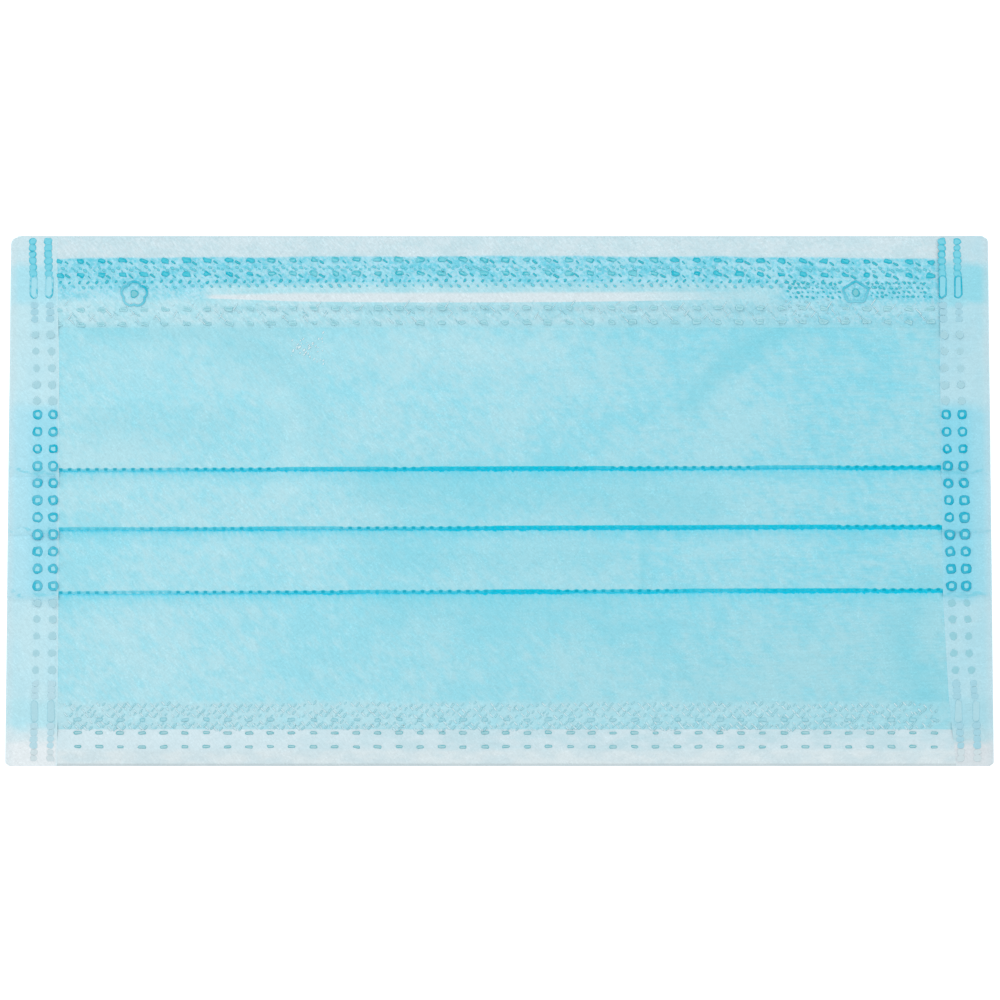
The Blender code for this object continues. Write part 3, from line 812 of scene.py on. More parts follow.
# Side tapes
# Each side edge is bound with a soft nonwoven tape, folded round it and welded through in two
# columns of marks. The tape is thin enough for the folds below to show as faint steps.
TAPE_THICKNESS = 0.3 * MM
TAPE_ROWS = 190
TAPE_EDGE_RADIUS = 0.6 * MM
CORNER_RADII = {"left": (1.6 * MM, 0.7 * MM), "right": (1.0 * MM, 0.7 * MM)}
COLUMN_PRESS = 0.04 * MM
# Tints of the tapes over what lies under them, from the margin at the top, and how far down the
# mask the next bands begin, in shares of its height
TAPE_TINTS = {
    "left": {"margin": tint(205, 229, 236), "bonded": tint(172, 225, 238),
             "single": tint(193, 229, 238), "pleated": tint(176, 226, 240),
             "hatched": tint(182, 227, 237), "low": tint(212, 232, 238),
             "foot": tint(228, 237, 241)},
    "right": {"margin": tint(199, 224, 232), "bonded": tint(150, 217, 232),
              "single": tint(182, 222, 233), "pleated": tint(160, 218, 234),
              "hatched": tint(170, 217, 229), "low": tint(184, 219, 228),
              "foot": tint(213, 223, 228)},
}
TAPE_BANDS = ((0.055, "bonded"), (0.128, "single"), (0.325, "pleated"), (0.685, "single"),
              (0.875, "hatched"), (0.928, "low"), (0.955, "foot"))
BAND_BLEND = 0.012
FOOT_CLEARS = (-42.5 * MM, -38.5 * MM)
RINGED_FROM = (-18.5 * MM, -15.5 * MM)
RINGED_TO = (18.5 * MM, 15.5 * MM)
# How strongly a painted highlight lightens each tape's inner edge, also over the shade beside it
EDGE_HIGHLIGHT = {"left": 0.6, "right": 0.1}
WELD_DEPTH = {"left": 0.32, "right": 0.46}
# Height and distance from the middle, in millimetres, along each column of welds
COLUMNS = {
    "left": (((44.4, 82.55), (15.0, 81.67), (-15.0, 81.67), (-43.0, 82.38)),
             ((44.4, 79.81), (15.0, 78.92), (-15.0, 78.92), (-43.0, 79.44))),
    "right": (((44.4, 80.9), (15.6, 81.8), (-14.9, 82.55), (-26.9, 83.1), (-36.3, 84.3), (-43.0, 84.5)),
              ((44.4, 78.2), (15.6, 78.95), (-14.9, 79.9), (-26.9, 80.4), (-36.3, 81.1), (-43.0, 81.6))),
}


def column_x(side, index, y):
    """Distance of a column of welds from the middle of the mask; 0 is the outer column."""
    heights, places = zip(*reversed(COLUMNS[side][index]))
    return np.interp(y, np.array(heights) * MM, np.array(places) * MM)


def hem_top(x, y):
    """Height of whatever front surface a side tape lies on."""
    cloth = front_top(x, y)
    above = y > HALF_HEIGHT - TOP_HEM_FRONT - HEM_TURN
    below = y < -HALF_HEIGHT + BOTTOM_HEM_FRONT + HEM_TURN
    return cloth + np.where(above | below, SKIN_GAP + HEM_THICKNESS, 0)


def tape_level(side, x, y, thickness=TAPE_THICKNESS):
    """Height of the middle of a tape's front leaf at a distance from the middle of the mask."""
    sign = SIDES[side]
    inside = np.minimum(x, side_x(y) - CLOTH - GAP)
    around = np.stack([hem_top(sign * inside, y + step) for step in np.linspace(-0.8, 0.8, 7) * MM])
    level = 0.5 * around.mean(axis=0) + 0.5 * around.max(axis=0)
    for index in (0, 1):
        level = level - COLUMN_PRESS * np.exp(-(((x - column_x(side, index, y)) / (0.8 * MM)) ** 2))
    return level + COLUMN_PRESS + SKIN_GAP + thickness / 2


def side_tape(side, material):
    """A tape folded round one side edge, as sections from the bottom up."""
    sign = SIDES[side]
    rings = []
    top_radius, bottom_radius = CORNER_RADII[side]
    for y in np.linspace(-HALF_HEIGHT, HALF_HEIGHT, TAPE_ROWS):
        radius = top_radius if y > 0 else bottom_radius
        short = max(0.0, radius - (HALF_HEIGHT - abs(y)))
        outer = side_x(y) - radius + math.sqrt(radius**2 - short**2)
        inner = float(tape_inner_x(side, y))
        xs = np.linspace(inner, outer - TAPE_EDGE_RADIUS, 30)
        rest = np.clip((xs - inner) / EDGE_LENGTH, 0, 1)
        thick = EDGE_THICKNESS + (TAPE_THICKNESS - EDGE_THICKNESS) * rest
        level = tape_level(side, xs, np.full_like(xs, y), thick) - EDGE_DIP * (1 - rest)
        line = list(zip(xs, level))
        bottom = PANEL_LEVEL - CLOTH / 2 - SKIN_GAP - HEM_THICKNESS - SKIN_GAP - TAPE_THICKNESS / 2
        middle, reach = (level[-1] + bottom) / 2, (level[-1] - bottom) / 2
        for angle in np.radians(np.linspace(72, -72, 9)):
            out = outer - TAPE_EDGE_RADIUS + (TAPE_EDGE_RADIUS - TAPE_THICKNESS / 2) * math.cos(angle)
            line.append((out, middle + reach * math.sin(angle)))
        line += [(x, bottom) for x in np.linspace(outer - TAPE_EDGE_RADIUS, inner, 10)]
        thick = np.concatenate([thick, np.full(len(line) - len(thick), TAPE_THICKNESS)])
        section = offset_ring(np.array(line), 0, thick)
        rings.append([(sign * x, y, z) for x, z in section])
    tape = loft(f"side_tape_cloth_{side}", rings, material)
    x, y, _ = places(tape).T
    inside = np.abs(x) - tape_inner_x(side, y)
    store(tape, "edge", np.clip(1.3 - inside / (0.3 * MM), 0, 1))
    store(tape, "outside", np.clip(1 - (side_x(y) - np.abs(x)) / (1.6 * MM), 0, 1))
    store(tape, "weld", sum(np.exp(-(((np.abs(x) - column_x(side, index, y)) / (1.6 * MM)) ** 2))
                            for index in (0, 1)))
    return tape


def tape_material(side):
    """Thin white nonwoven, tinted by the cloth that it covers and by the welds through it."""
    material, shader, place = material_named(f"tape_cloth_{side}", 0.85)
    _, y, z = place.xyz()
    wobble = (place.noise(3 * MM, 2 * MM, 0, 3) - 0.5) * 0.03
    down = (y * -1 + HALF_HEIGHT) / (2 * HALF_HEIGHT) + wobble
    tints = TAPE_TINTS[side]
    colour = tints["margin"]
    for start, name in TAPE_BANDS:
        colour = down.rise(start - BAND_BLEND, start + BAND_BLEND).blend(colour, tints[name])
    clouds = place.noise(5 * MM, 7 * MM, 0, 3).rise(0.35, 0.65)
    colour = (clouds * y.rise(*FOOT_CLEARS) * 0.35).blend(colour, tints["pleated"])
    ringed = y.rise(*RINGED_FROM) * y.rise(*RINGED_TO) * WELD_DEPTH[side]
    colour = (place.named("weld") * ringed).blend(colour, tint(114, 213, 236))
    for fold_down, _, _ in PLEATS:
        off = abs(down - (fold_down + 0.004))
        mark = off.rise(0.006, 0.002) * place.noise(1.5 * MM, 0.8 * MM, 0, 2).rise(0.42, 0.6) * 0.5
        colour = mark.blend(colour, tint(105, 205, 225))
    colour = (place.named("outside") * 0.55).blend(colour, tint(206, 224, 230))
    # Painted highlight along the tape's inner edge
    colour = (place.named("edge") * EDGE_HIGHLIGHT[side]).blend(colour, tint(205, 234, 241))
    colour = z.rise(BACK_START, BACK_FULL).blend(colour, BACK_TINT)
    finish_cloth(shader, colour, fibres(place), 0.16)
    return material


for side in SIDES:
    tape = side_tape(side, tape_material(side))
    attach(tape, "root")
    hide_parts(f"side_tape_{side}")


# Weld marks
# Hot rollers and punches bond the layers: rows of short dashes along both hems, and rings, discs,
# ovals and merged chains down the side tapes. Each is a dent with a glassy rim of melted fibres.
MARK_FLATNESS = 0.35
MARK_LIFT = 0.05 * MM
MARK_FILM = 0.08 * MM
MARK_REACH = 0.8 * MM
RAG_SIZE = 0.7 * MM
SPOT_CLEARING = 2.5 * MM
# Rows across the mask: where they start and their pitch, in the camera's pixels, and their counts
ROW_CENTRE_PX = 499.5
DASH_START_PX = 59.3
DASH_PITCH_PX = 21.24
DASH_COUNT = 42
LOW_START_PX = 78
LOW_PITCH_PX = 21.4
LOW_COUNT = 41
TAIL_START_PX = 67.5
DOT_PITCH_PX = 9.17
DOT_COUNT = 95
FINE_PITCH_PX = 5.31
BESIDE_COUNT = 27
BELOW_COUNT = 8
HATCH_START_PX = 66
HATCH_COUNT = 82
FLECK_COUNT = 44
# The dashes over the middle of the mask are bonded less: their middle and how far they reach
OPEN_MIDDLE = -6 * MM
OPEN_REACH = 36 * MM
# Rows of marks: their height in millimetres, or those at the left end, the middle and the right end
STRONG_ROWS = ((42.3, 42.7, 42.1), (39.8, 40.3, 39.7))
TAIL_ROWS = ((42.0, 42.3, 41.8), (39.5, 39.9, 39.4))
PALE_ROWS = ((33.6, 34.2, 33.85), (31.1, 31.6, 31.7))
LOW_ROWS = (-41.0, -43.45, -38.7)
HATCH_ROWS = (-36.1, -37.0, -37.9, -39.4, -40.1)
# Rows of small bonds beside and below the end of the wire: first pixel and height
BESIDE_ROWS = ((787, 38.5), (790, 37.7), (787, 36.9), (791, 36.1))
BELOW_ROWS = ((785, 35.1), (789, 34.3), (785, 32.7))
# Small bonds between the dashes: group, slant in radians, look, and each row's pixel and heights
BOND_ROWS = (
    ("between", -0.6, "bond_faint", ((63, (41.0, 41.4, 40.8)), (67, (40.6, 41.0, 40.5)))),
    ("upper", 0.8, "bond", ((61, (38.5, 39.0, 38.4)),)),
    ("lower", -0.8, "bond_faint", ((65, (37.7, 38.1, 37.6)),)),
)
# Threads pressed into the top hem: group, look, pixels from the dashes, slant and rows' heights
STROKE_ROWS = (
    ("pale", "white", 9, -0.95, ((33.4, 33.9, 33.8), (31.9, 32.3, 32.3))),
    ("crossed", "white", 6, 0.8, ((34.4, 34.8, 34.8), (32.6, 33.1, 33.0))),
    ("grey", "grey", 13, -0.85, ((32.9, 33.2, 33.2), (31.2, 31.7, 31.7))),
)
# Middle and spread, in pixels across and down, of the flecks painted along a crease as highlight
FLECKS_PX = ((311, 8), (347, 7))
# Heights of the marks down each column, in millimetres
RING_PITCH_MM = 3.03
CHAIN_PITCH_MM = 1.14
COLUMN_HEIGHTS = {
    "chain": [45.9 - CHAIN_PITCH_MM * step for step in range(6)],
    "oval": [37.9],
    "pale_chain": [34.6, 33.4, 32.2],
    "disc": [29.4, 26.5, 23.5, 20.5, 17.7],
    "ring": [15.3 - RING_PITCH_MM * step for step in range(11)],
    "low_disc": [-18.05, -20.9, -23.9, -26.9, -29.9],
    "low_oval": [-37.2],
    "low_chain": [-32.3, -33.4, -34.5, *(-39.8 - CHAIN_PITCH_MM * np.arange(4))],
    "foot_chain": [-44.4, -45.5],
}
# Each side's looks: its rings and their rim, its ovals, low discs and low chains
COLUMN_LOOKS = (
    ("left", "ring_light", 0.25, "oval_broken", "disc", "chain_white"),
    ("right", "ring_bold", 0.26, "oval", "disc_dark", "chain_pale"),
)
# Melted cloth by kind of mark: tint of its rim, tint of its film, and how unevenly it is bonded
# For the pale marks (pale, disc, disc_dark, chain_pale, chain_white) the rim's tint is painted lighter
# than the film's, to offset the shade on the raised rim
WELD_TINTS = {
    "strong": ((14, 182, 206), (86, 202, 221), 0.6),
    "open": ((48, 184, 202), (130, 212, 226), 0.6),
    "ring_bold": ((4, 176, 206), (148, 218, 233), 0.15),
    "ring_light": ((12, 180, 208), (158, 221, 235), 0.25),
    "bond": ((48, 186, 205), (70, 192, 210), 0.7),
    "bond_faint": ((92, 201, 219), (112, 208, 225), 0.8),
    "spot": ((20, 183, 208), (142, 215, 231), 0.25),
    "spot_centre": ((66, 188, 206), (126, 200, 212), 0.3),
    "pale": ((172, 223, 233), (147, 205, 216), 0.3),
    "disc": ((184, 224, 234), (168, 212, 223), 0.2),
    "disc_dark": ((164, 216, 228), (150, 206, 218), 0.2),
    "teal": ((104, 185, 196), (168, 210, 218), 0.4),
    "chain": ((66, 193, 216), (124, 210, 228), 0.8),
    "chain_pale": ((172, 219, 232), (164, 211, 225), 0.2),
    "chain_white": ((194, 227, 237), (182, 218, 229), 0.2),
    "chain_foot": ((206, 222, 227), (205, 222, 227), 0.3),
    "oval": ((14, 182, 208), (142, 215, 232), 0.3),
    "oval_broken": ((40, 188, 212), (166, 222, 236), 0.8),
    "oval_pale": ((158, 212, 225), (174, 217, 228), 0.6),
    "faded": ((140, 205, 218), (164, 214, 226), 0.6),
    "white": ((198, 231, 239), (198, 231, 239), 0.2),
    "highlight_fleck": ((214, 240, 246), (214, 240, 246), 0.2),
    "grey": ((164, 218, 229), (164, 218, 229), 0.2),
}
# The two punch marks at the ends of the wire. Only part of each outline is bonded strongly, and
# strong_way is the direction of that part from the centre, in radians.
SPOTS = {
    "left": {"centre": (-64.6 * MM, 36.6 * MM), "reach": 2.3 * MM, "dent": 0.18, "squash": 0.95,
             "turn": 0.3, "petals": True, "strong_way": 0.9},
    "right": {"centre": (63.0 * MM, 36.9 * MM), "reach": 2.35 * MM, "dent": 0.17, "squash": 0.82,
              "turn": 1.57, "petals": False, "strong_way": 1.6},
}


def join(at, *parts):
    """Geometries joined into one."""
    joined = at.node("GeometryNodeJoinGeometry")
    for part in parts:
        at.tree.links.new(part.socket, joined.socket.node.inputs[0])
    return joined


def mark_tree():
    """Instances one rounded mark, a thin film with a raised rim, on each point of a mesh.

    Every mark gets its own turn, size and tone, and the ragged outline comes last.
    """
    tree = bpy.data.node_groups.new("weld_mark", "GeometryNodeTree")
    tree.interface.new_socket("Points", in_out="INPUT", socket_type="NodeSocketGeometry")
    for name in ("Width", "Height", "Corner", "Rim", "Film", "Turn", "Jitter", "Ragged"):
        tree.interface.new_socket(name, in_out="INPUT", socket_type="NodeSocketFloat")
    for name in ("Round", "Sides", "Seed"):
        tree.interface.new_socket(name, in_out="INPUT", socket_type="NodeSocketInt")
    tree.interface.new_socket("Material", in_out="INPUT", socket_type="NodeSocketMaterial")
    tree.interface.new_socket("Marks", in_out="OUTPUT", socket_type="NodeSocketGeometry")
    given = {socket.name: Wire(tree, socket)
             for socket in tree.nodes.new("NodeGroupInput").outputs if socket.name}
    at = Wire(tree, None)
    add = at.node
    box = add("GeometryNodeCurvePrimitiveQuadrilateral", {},
              {"Width": given["Width"], "Height": given["Height"]})
    outline = add("GeometryNodeFilletCurve", {"mode": "POLY"},
                  {"Curve": box, "Count": given["Round"], "Radius": given["Corner"]})
    profile = add("GeometryNodeCurvePrimitiveCircle", {},
                  {"Resolution": given["Sides"], "Radius": given["Rim"]})
    rim = add("GeometryNodeCurveToMesh", {}, {"Curve": outline, "Profile Curve": profile})
    rim = add("GeometryNodeStoreNamedAttribute", {"data_type": "FLOAT", "domain": "POINT"},
              {"Geometry": rim, "Name": "stroke", "Value": 1.0})
    face = add("GeometryNodeFillCurve", {"mode": "NGONS"}, {"Curve": outline})
    raised = add("GeometryNodeExtrudeMesh", {"mode": "FACES"},
                 {"Mesh": face, "Offset Scale": given["Film"], "Individual": False})
    film = join(at, raised, add("GeometryNodeFlipFaces", {}, {"Mesh": face}))
    film = add("GeometryNodeMergeByDistance", {}, {"Geometry": film, "Distance": 0.001 * MM})
    rim = add("GeometryNodeSetShadeSmooth", {}, {"Geometry": rim, "Shade Smooth": True})
    film = add("GeometryNodeSetShadeSmooth", {}, {"Geometry": film, "Shade Smooth": False})
    points = add("GeometryNodeMeshToPoints", {}, {"Mesh": given["Points"]})

    def chance(low, high):
        values = {2: low, 3: high, "Seed": given["Seed"]}
        return add("FunctionNodeRandomValue", {"data_type": "FLOAT"}, values, 1)

    swing = chance(given["Jitter"] * -0.3, given["Jitter"] * 0.3)
    turn = add("ShaderNodeCombineXYZ", {}, {"Z": swing + given["Turn"]})
    size = chance(1 - given["Jitter"], 1 + given["Jitter"])
    size = add("ShaderNodeCombineXYZ", {}, {"X": size, "Y": size, "Z": MARK_FLATNESS})
    placed = add("GeometryNodeInstanceOnPoints", {},
                 {"Points": points, "Instance": join(at, rim, film), "Rotation": turn, "Scale": size})
    placed = add("GeometryNodeStoreNamedAttribute", {"data_type": "FLOAT", "domain": "INSTANCE"},
                 {"Geometry": placed, "Name": "tone", "Value": chance(0.0, 1.0)})
    real = add("GeometryNodeRealizeInstances", {}, {"Geometry": placed})
    shaken = add("ShaderNodeTexNoise", {}, {"Vector": add("GeometryNodeInputPosition"),
                                            "Scale": 1 / RAG_SIZE, "Detail": 1.0}, 1)
    shaken = add("ShaderNodeVectorMath", {"operation": "SUBTRACT"}, {0: shaken, 1: (0.5, 0.5, 0.5)})
    reach = add("ShaderNodeCombineXYZ", {}, {"X": given["Ragged"], "Y": given["Ragged"]})
    shaken = add("ShaderNodeVectorMath", {"operation": "MULTIPLY"}, {0: shaken, 1: reach})
    real = add("GeometryNodeSetPosition", {}, {"Geometry": real, "Offset": shaken})
    painted = add("GeometryNodeSetMaterial", {}, {"Geometry": real, "Material": given["Material"]})
    result = tree.nodes.new("NodeGroupOutput")
    tree.links.new(painted.socket, result.inputs["Marks"])
    return tree


def weld_material(name, rim, film, spread):
    """Melted cloth: its rim has a tint of its own, and some marks are bonded less than others."""
    material, shader, place = material_named(name, 0.6)
    stroke = place.named("stroke")
    tone = place.named("tone") * spread
    grain = place.noise(0.35 * MM, 0.35 * MM, 0, 2)
    patches = place.noise(1.4 * MM, 0.9 * MM, -40, 2).rise(0.35, 0.65) * spread
    colour = (stroke * (1 - tone * 0.5 - patches)).blend(film, rim)
    finish_cloth(shader, colour, grain, 0.15, 0.02 * MM)
    return material


weld_tree = mark_tree()
looks = {name: weld_material(f"weld_{name}", tint(*rim), tint(*film), spread)
         for name, (rim, film, spread) in WELD_TINTS.items()}


def marks(name, points, size, look, turn=0.0, jitter=0.05, corner=0.49, ragged=0.5,
          fine=True, seed=1):
    """One group of like marks, made at points on the surface as a plain mesh.

    The size is width, height and rim. It and the ragged outline's reach are in millimetres.
    """
    width, height, rim = (value * MM for value in size)
    data = bpy.data.meshes.new(name)
    data.from_pydata([tuple(map(float, point)) for point in points], [], [])
    source = bpy.data.objects.new(name + "_points", data)
    bpy.context.scene.collection.objects.link(source)
    modifier = source.modifiers.new("marks", "NODES")
    modifier.node_group = weld_tree
    values = {"Width": width, "Height": height, "Corner": corner * min(width, height), "Rim": rim,
              "Film": MARK_FILM, "Turn": turn, "Jitter": jitter, "Ragged": ragged * MM,
              "Round": 4 if fine else 1, "Sides": 6 if fine else 4, "Seed": seed,
              "Material": looks[look]}
    for socket in weld_tree.interface.items_tree:
        if socket.name in values:
            modifier[socket.identifier] = values[socket.name]
    bpy.context.view_layer.update()
    evaluated = source.evaluated_get(bpy.context.evaluated_depsgraph_get())
    made = bpy.data.meshes.new_from_object(evaluated)
    piece = bpy.data.objects.new(name, made)
    bpy.context.scene.collection.objects.link(piece)
    bpy.data.objects.remove(source)
    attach(piece, "root")


def surface(x, y):
    """Height of the front surface of the hems, or of the open cloth between them."""
    cloth = front_top(x, y)
    free = seam_freedom(x, y)
    down = HALF_HEIGHT - np.abs(y)
    level = cloth + drape(np.stack([x, y], axis=1)) * free * open_field(y)
    for end, front, rows in ((1, TOP_HEM_FRONT, TOP_ROWS), (-1, BOTTOM_HEM_FRONT, BOTTOM_ROWS)):
        rest = np.clip((front - down) / HEM_EDGE_LENGTH, 0, 1)
        thick = EDGE_THICKNESS + (HEM_THICKNESS - EDGE_THICKNESS) * rest
        hemmed = cloth + SKIN_GAP + thick + hem_lift(x, down, rows, end > 0) * free * rest
        level = np.where((y * end > 0) & (down < front), hemmed, level)
    return level


def on_top(x, y):
    """The surface's height under a small mark: the greatest there and just above and below."""
    x, y = np.asarray(x, float), np.asarray(y, float)
    return np.max([surface(x, y + step) for step in (-0.35 * MM, 0.0, 0.35 * MM)], axis=0)


def row(heights, start=DASH_START_PX, pitch=DASH_PITCH_PX, count=DASH_COUNT, scatter=0.0,
        clear=False, seed=3):
    """Points along a row: its height, or those at its left, middle and right, in millimetres."""
    shake = np.random.default_rng(seed)
    left, middle, right = heights if isinstance(heights, tuple) else (heights,) * 3
    x = (start + pitch * np.arange(count) - ROW_CENTRE_PX) / PIXELS_PER_METRE
    along = x / side_x(0)
    y = (middle + (right - left) / 2 * along + ((right + left) / 2 - middle) * along**2) * MM
    x = x + shake.normal(0, scatter, count)
    y = y + shake.normal(0, scatter, count)
    if clear:
        for look in SPOTS.values():
            away = np.hypot(x - look["centre"][0], y - look["centre"][1]) > SPOT_CLEARING
            x, y = x[away], y[away]
    return list(zip(x, y, on_top(x, y) + MARK_LIFT))


def column_points(sides, heights):
    """Points down both columns of welds on the surface of some tapes."""
    y = np.array(heights) * MM
    points = []
    for side in sides:
        for index in (0, 1):
            x = column_x(side, index, y)
            steps = np.linspace(-MARK_REACH, MARK_REACH, 5)
            around = [tape_level(side, x, y + step) for step in steps]
            level = np.max(around, axis=0) + TAPE_THICKNESS / 2 + MARK_LIFT
            points += zip(SIDES[side] * x, y, level)
    return points


strong_points = row(STRONG_ROWS[0]) + row(STRONG_ROWS[1])
for look, outer in (("strong", True), ("open", False)):
    chosen = [point for point in strong_points
              if (abs(point[0] - OPEN_MIDDLE) > OPEN_REACH) == outer]
    marks(f"dash_welds_{look}", chosen, (1.10, 0.46, 0.16), look, turn=-0.2,
          jitter=0.16, ragged=0.9)
marks("dash_welds_pale", row(PALE_ROWS[0]) + row(PALE_ROWS[1]), (1.10, 0.42, 0.14), "pale",
      turn=-0.10, jitter=0.14, ragged=0.9, seed=2)
low_points = [row(height, LOW_START_PX, LOW_PITCH_PX, LOW_COUNT, 0.03 * MM, seed=9)
              for height in LOW_ROWS]
marks("dash_welds_bottom", low_points[0] + low_points[1], (1.10, 0.32, 0.10), "teal",
      jitter=0.1, ragged=0.4, seed=3)
marks("dash_welds_faint", low_points[2], (1.00, 0.36, 0.12), "faded", jitter=0.14,
      ragged=0.8, seed=4)
for name, turn, look, rows in BOND_ROWS:
    dots = []
    for start, heights in rows:
        dots += row(heights, start, DOT_PITCH_PX, DOT_COUNT, 0.07 * MM, clear=True, seed=start)
    marks(f"bond_dots_{name}", dots, (0.46, 0.20, 0.08), look, turn=turn, jitter=0.3,
          ragged=0.3, fine=False, seed=start)
tails = []
for seed, heights in enumerate(TAIL_ROWS, 5):
    tails += row(heights, TAIL_START_PX, DASH_PITCH_PX, DASH_COUNT - 1, 0.08 * MM, seed=seed)
marks("bond_tails", tails, (0.70, 0.12, 0.09), "bond", turn=-0.65, jitter=0.35,
      ragged=0.3, fine=False, seed=2)
beside = []
for start, height in BESIDE_ROWS:
    beside += row(height, start, FINE_PITCH_PX, BESIDE_COUNT, 0.10 * MM, clear=True, seed=start)
marks("bond_dots_beside", beside, (0.36, 0.16, 0.07), "bond", turn=-0.5, jitter=0.4,
      ragged=0.3, fine=False, seed=3)
for name, turn, shift, look in (("down", -0.85, 0.0, "white"), ("up", 0.85, FINE_PITCH_PX, "grey")):
    hatch = []
    for index, height in enumerate(HATCH_ROWS):
        start = HATCH_START_PX + shift + FINE_PITCH_PX * (index % 2)
        hatch += row(height, start, 2 * FINE_PITCH_PX, HATCH_COUNT, 0.20 * MM, seed=index + 5)
    marks(f"hatch_strokes_{name}", hatch, (0.70, 0.12, 0.06), look, turn=turn,
          jitter=0.25, ragged=0.2, fine=False)
for name, look, shift, turn, rows in STROKE_ROWS:
    strokes = []
    for index, heights in enumerate(rows):
        start = DASH_START_PX + shift + index * FINE_PITCH_PX
        strokes += row(heights, start, DASH_PITCH_PX, DASH_COUNT - 1, 0.25 * MM, seed=shift + index)
    marks(f"hem_strokes_{name}", strokes, (0.85, 0.05, 0.045), look, turn=turn,
          jitter=0.6, ragged=0.4, fine=False, seed=shift)
below = []
for start, height in BELOW_ROWS:
    below += row(height, start, 2 * FINE_PITCH_PX, BELOW_COUNT, 0.2 * MM, seed=start)
marks("bond_dots_low", below, (0.42, 0.12, 0.06), "faded", turn=-0.5, jitter=0.4,
      ragged=0.3, fine=False, seed=4)
# Pale flecks painted along a crease as its highlight
shake = np.random.default_rng(8)
x, y = from_pixel(*(shake.normal(centre, spread, FLECK_COUNT) for centre, spread in FLECKS_PX))
marks("crease_highlight_flecks", list(zip(x, y, on_top(x, y) + MARK_LIFT)), (0.30, 0.08, 0.06), "highlight_fleck",
      turn=0.9, jitter=0.5, ragged=0.3, fine=False, seed=5)
for side, ring_look, ring_rim, oval_look, low_disc_look, low_chain_look in COLUMN_LOOKS:
    for name, size, look, corner in (
            ("ring", (1.22, 1.22, ring_rim), ring_look, 0.38),
            ("oval", (1.15, 3.9, 0.18), oval_look, 0.49),
            ("disc", (1.15, 1.15, 0.08), "disc", 0.49),
            ("low_disc", (1.15, 1.15, 0.08), low_disc_look, 0.49),
            ("pale_chain", (1.15, 0.95, 0.08), "chain_pale", 0.40),
            ("low_chain", (1.15, 0.95, 0.08), low_chain_look, 0.40)):
        marks(f"{name}_welds_{side}", column_points([side], COLUMN_HEIGHTS[name]), size, look,
              jitter=0.08, corner=corner)
for name, kind, size, look, jitter, corner in (
        ("chain_welds", "chain", (1.10, 0.95, 0.14), "chain", 0.1, 0.40),
        ("chain_welds_foot", "foot_chain", (1.15, 0.95, 0.08), "chain_foot", 0.08, 0.40),
        ("oval_welds_low", "low_oval", (1.10, 3.8, 0.09), "oval_pale", 0.05, 0.49)):
    marks(name, column_points(SIDES, COLUMN_HEIGHTS[kind]), size, look, jitter=jitter,
          corner=corner)


# Spot welds
# One round punch at each end of the wire pins the layers together. It leaves a five-sided
# outline about a small disc.
PETALS = 5
ROSETTE_LINE = 0.19 * MM
ROSETTE_LIFT = 0.12 * MM


def ring_tube(points, radius, sides=6):
    """Points and faces of a closed flat wire ring through points on a surface."""
    points = np.array(points)
    ahead = np.roll(points, -1, axis=0) - np.roll(points, 1, axis=0)
    ahead /= np.linalg.norm(ahead, axis=1)[:, None]
    out = np.stack([ahead[:, 1], -ahead[:, 0], np.zeros(len(points))], axis=1)
    corners = []
    faces = []
    for index, (centre, sideways) in enumerate(zip(points, out)):
        for corner in range(sides):
            angle = 2 * math.pi * corner / sides
            lift = Vector((0, 0, radius * math.sin(angle) * MARK_FLATNESS))
            corners.append(Vector(centre) + Vector(sideways) * radius * math.cos(angle) + lift)
            after = (index + 1) % len(points)
            beside = (corner + 1) % sides
            faces.append((index * sides + corner, index * sides + beside,
                          after * sides + beside, after * sides + corner))
    return corners, faces


def level_points(points):
    """Flat places on the hem as points just above its surface."""
    x, y = np.array(points).T
    return list(zip(x, y, on_top(x, y) + ROSETTE_LIFT))


def petal_ring(look):
    """Points round a punch's outline: petals that meet in cusps, or a pentagon with soft sides."""
    centre_x, centre_y = look["centre"]
    points = []
    for angle in np.linspace(0, 2 * math.pi, 60, endpoint=False):
        wave = PETALS * angle / 2
        bend = (1 - abs(math.cos(wave))) ** 1.5 if look["petals"] else abs(math.sin(wave)) ** 1.2
        out = look["reach"] * (1 - look["dent"] * bend)
        x = centre_x + out * math.cos(angle + look["turn"])
        y = centre_y + out * math.sin(angle + look["turn"]) * look["squash"]
        points.append((x, y))
    return level_points(points)


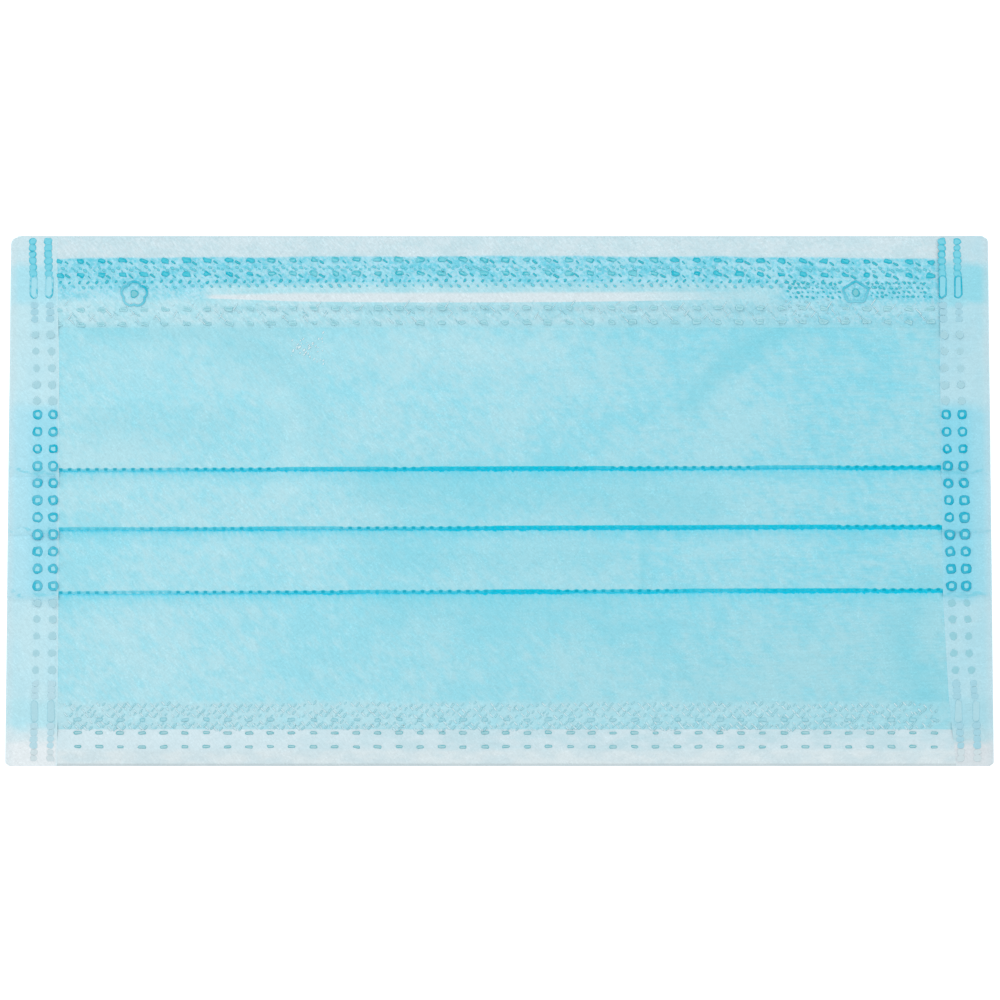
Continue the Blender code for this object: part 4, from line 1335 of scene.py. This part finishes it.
for name, look in SPOTS.items():
    corners, faces = ring_tube(petal_ring(look), ROSETTE_LINE)
    ways = [math.atan2(y - look["centre"][1], x - look["centre"][0]) for x, y, _ in corners]
    strokes = 0.64 + 0.36 * np.cos(np.array(ways) - look["strong_way"])
    flower = mesh_object(f"spot_weld_{name}", corners, faces, looks["spot"])
    store(flower, "stroke", strokes)
    store(flower, "tone", np.full(len(corners), 0.2))
    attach(flower, "root")
centres = level_points([look["centre"] for look in SPOTS.values()])
marks("spot_weld_centres", centres, (1.15, 1.15, 0.12), "spot_centre", corner=0.45)


# Light and surface
# Broad soft light from above, a little stronger from the top left, over plain white paper.
PAPER_COLOUR = (0.86, 0.86, 0.86, 1.0)
PAPER_GLOW = 0.45
PAPER_DROP = 0.02 * MM
SKY_STRENGTH = 0.805
WHITE = (1.0, 1.0, 1.0, 1.0)
# Each lamp's place, width in metres and power in watts
LAMPS = (("key", (-0.5, 0.6, 0.9), 0.5, 2.7), ("fill", (0.7, -0.3, 1.0), 0.9, 1.5))

floor_material = bpy.data.materials.new("white_paper")
floor_material.use_nodes = True
paper = floor_material.node_tree.nodes["Principled BSDF"]
paper.inputs["Base Color"].default_value = PAPER_COLOUR
paper.inputs["Roughness"].default_value = 0.9
paper.inputs["Emission Color"].default_value = WHITE
paper.inputs["Emission Strength"].default_value = PAPER_GLOW
bpy.ops.mesh.primitive_plane_add(size=6.0, location=(0.0, 0.0, -PAPER_DROP))
floor = bpy.context.object
floor.name = "floor"
floor.data.materials.append(floor_material)

world = bpy.data.worlds.new("studio")
world.use_nodes = True
sky = world.node_tree.nodes["Background"]
sky.inputs["Color"].default_value = WHITE
sky.inputs["Strength"].default_value = SKY_STRENGTH
bpy.context.scene.world = world
bpy.context.scene.view_settings.view_transform = "Standard"

for name, place, size, power in LAMPS:
    light_data = bpy.data.lights.new(name, "AREA")
    light_data.size = size
    light_data.energy = power
    light = bpy.data.objects.new(name, light_data)
    light.location = place
    light.rotation_euler = (-Vector(place)).to_track_quat("-Z", "Y").to_euler()
    bpy.context.scene.collection.objects.link(light)
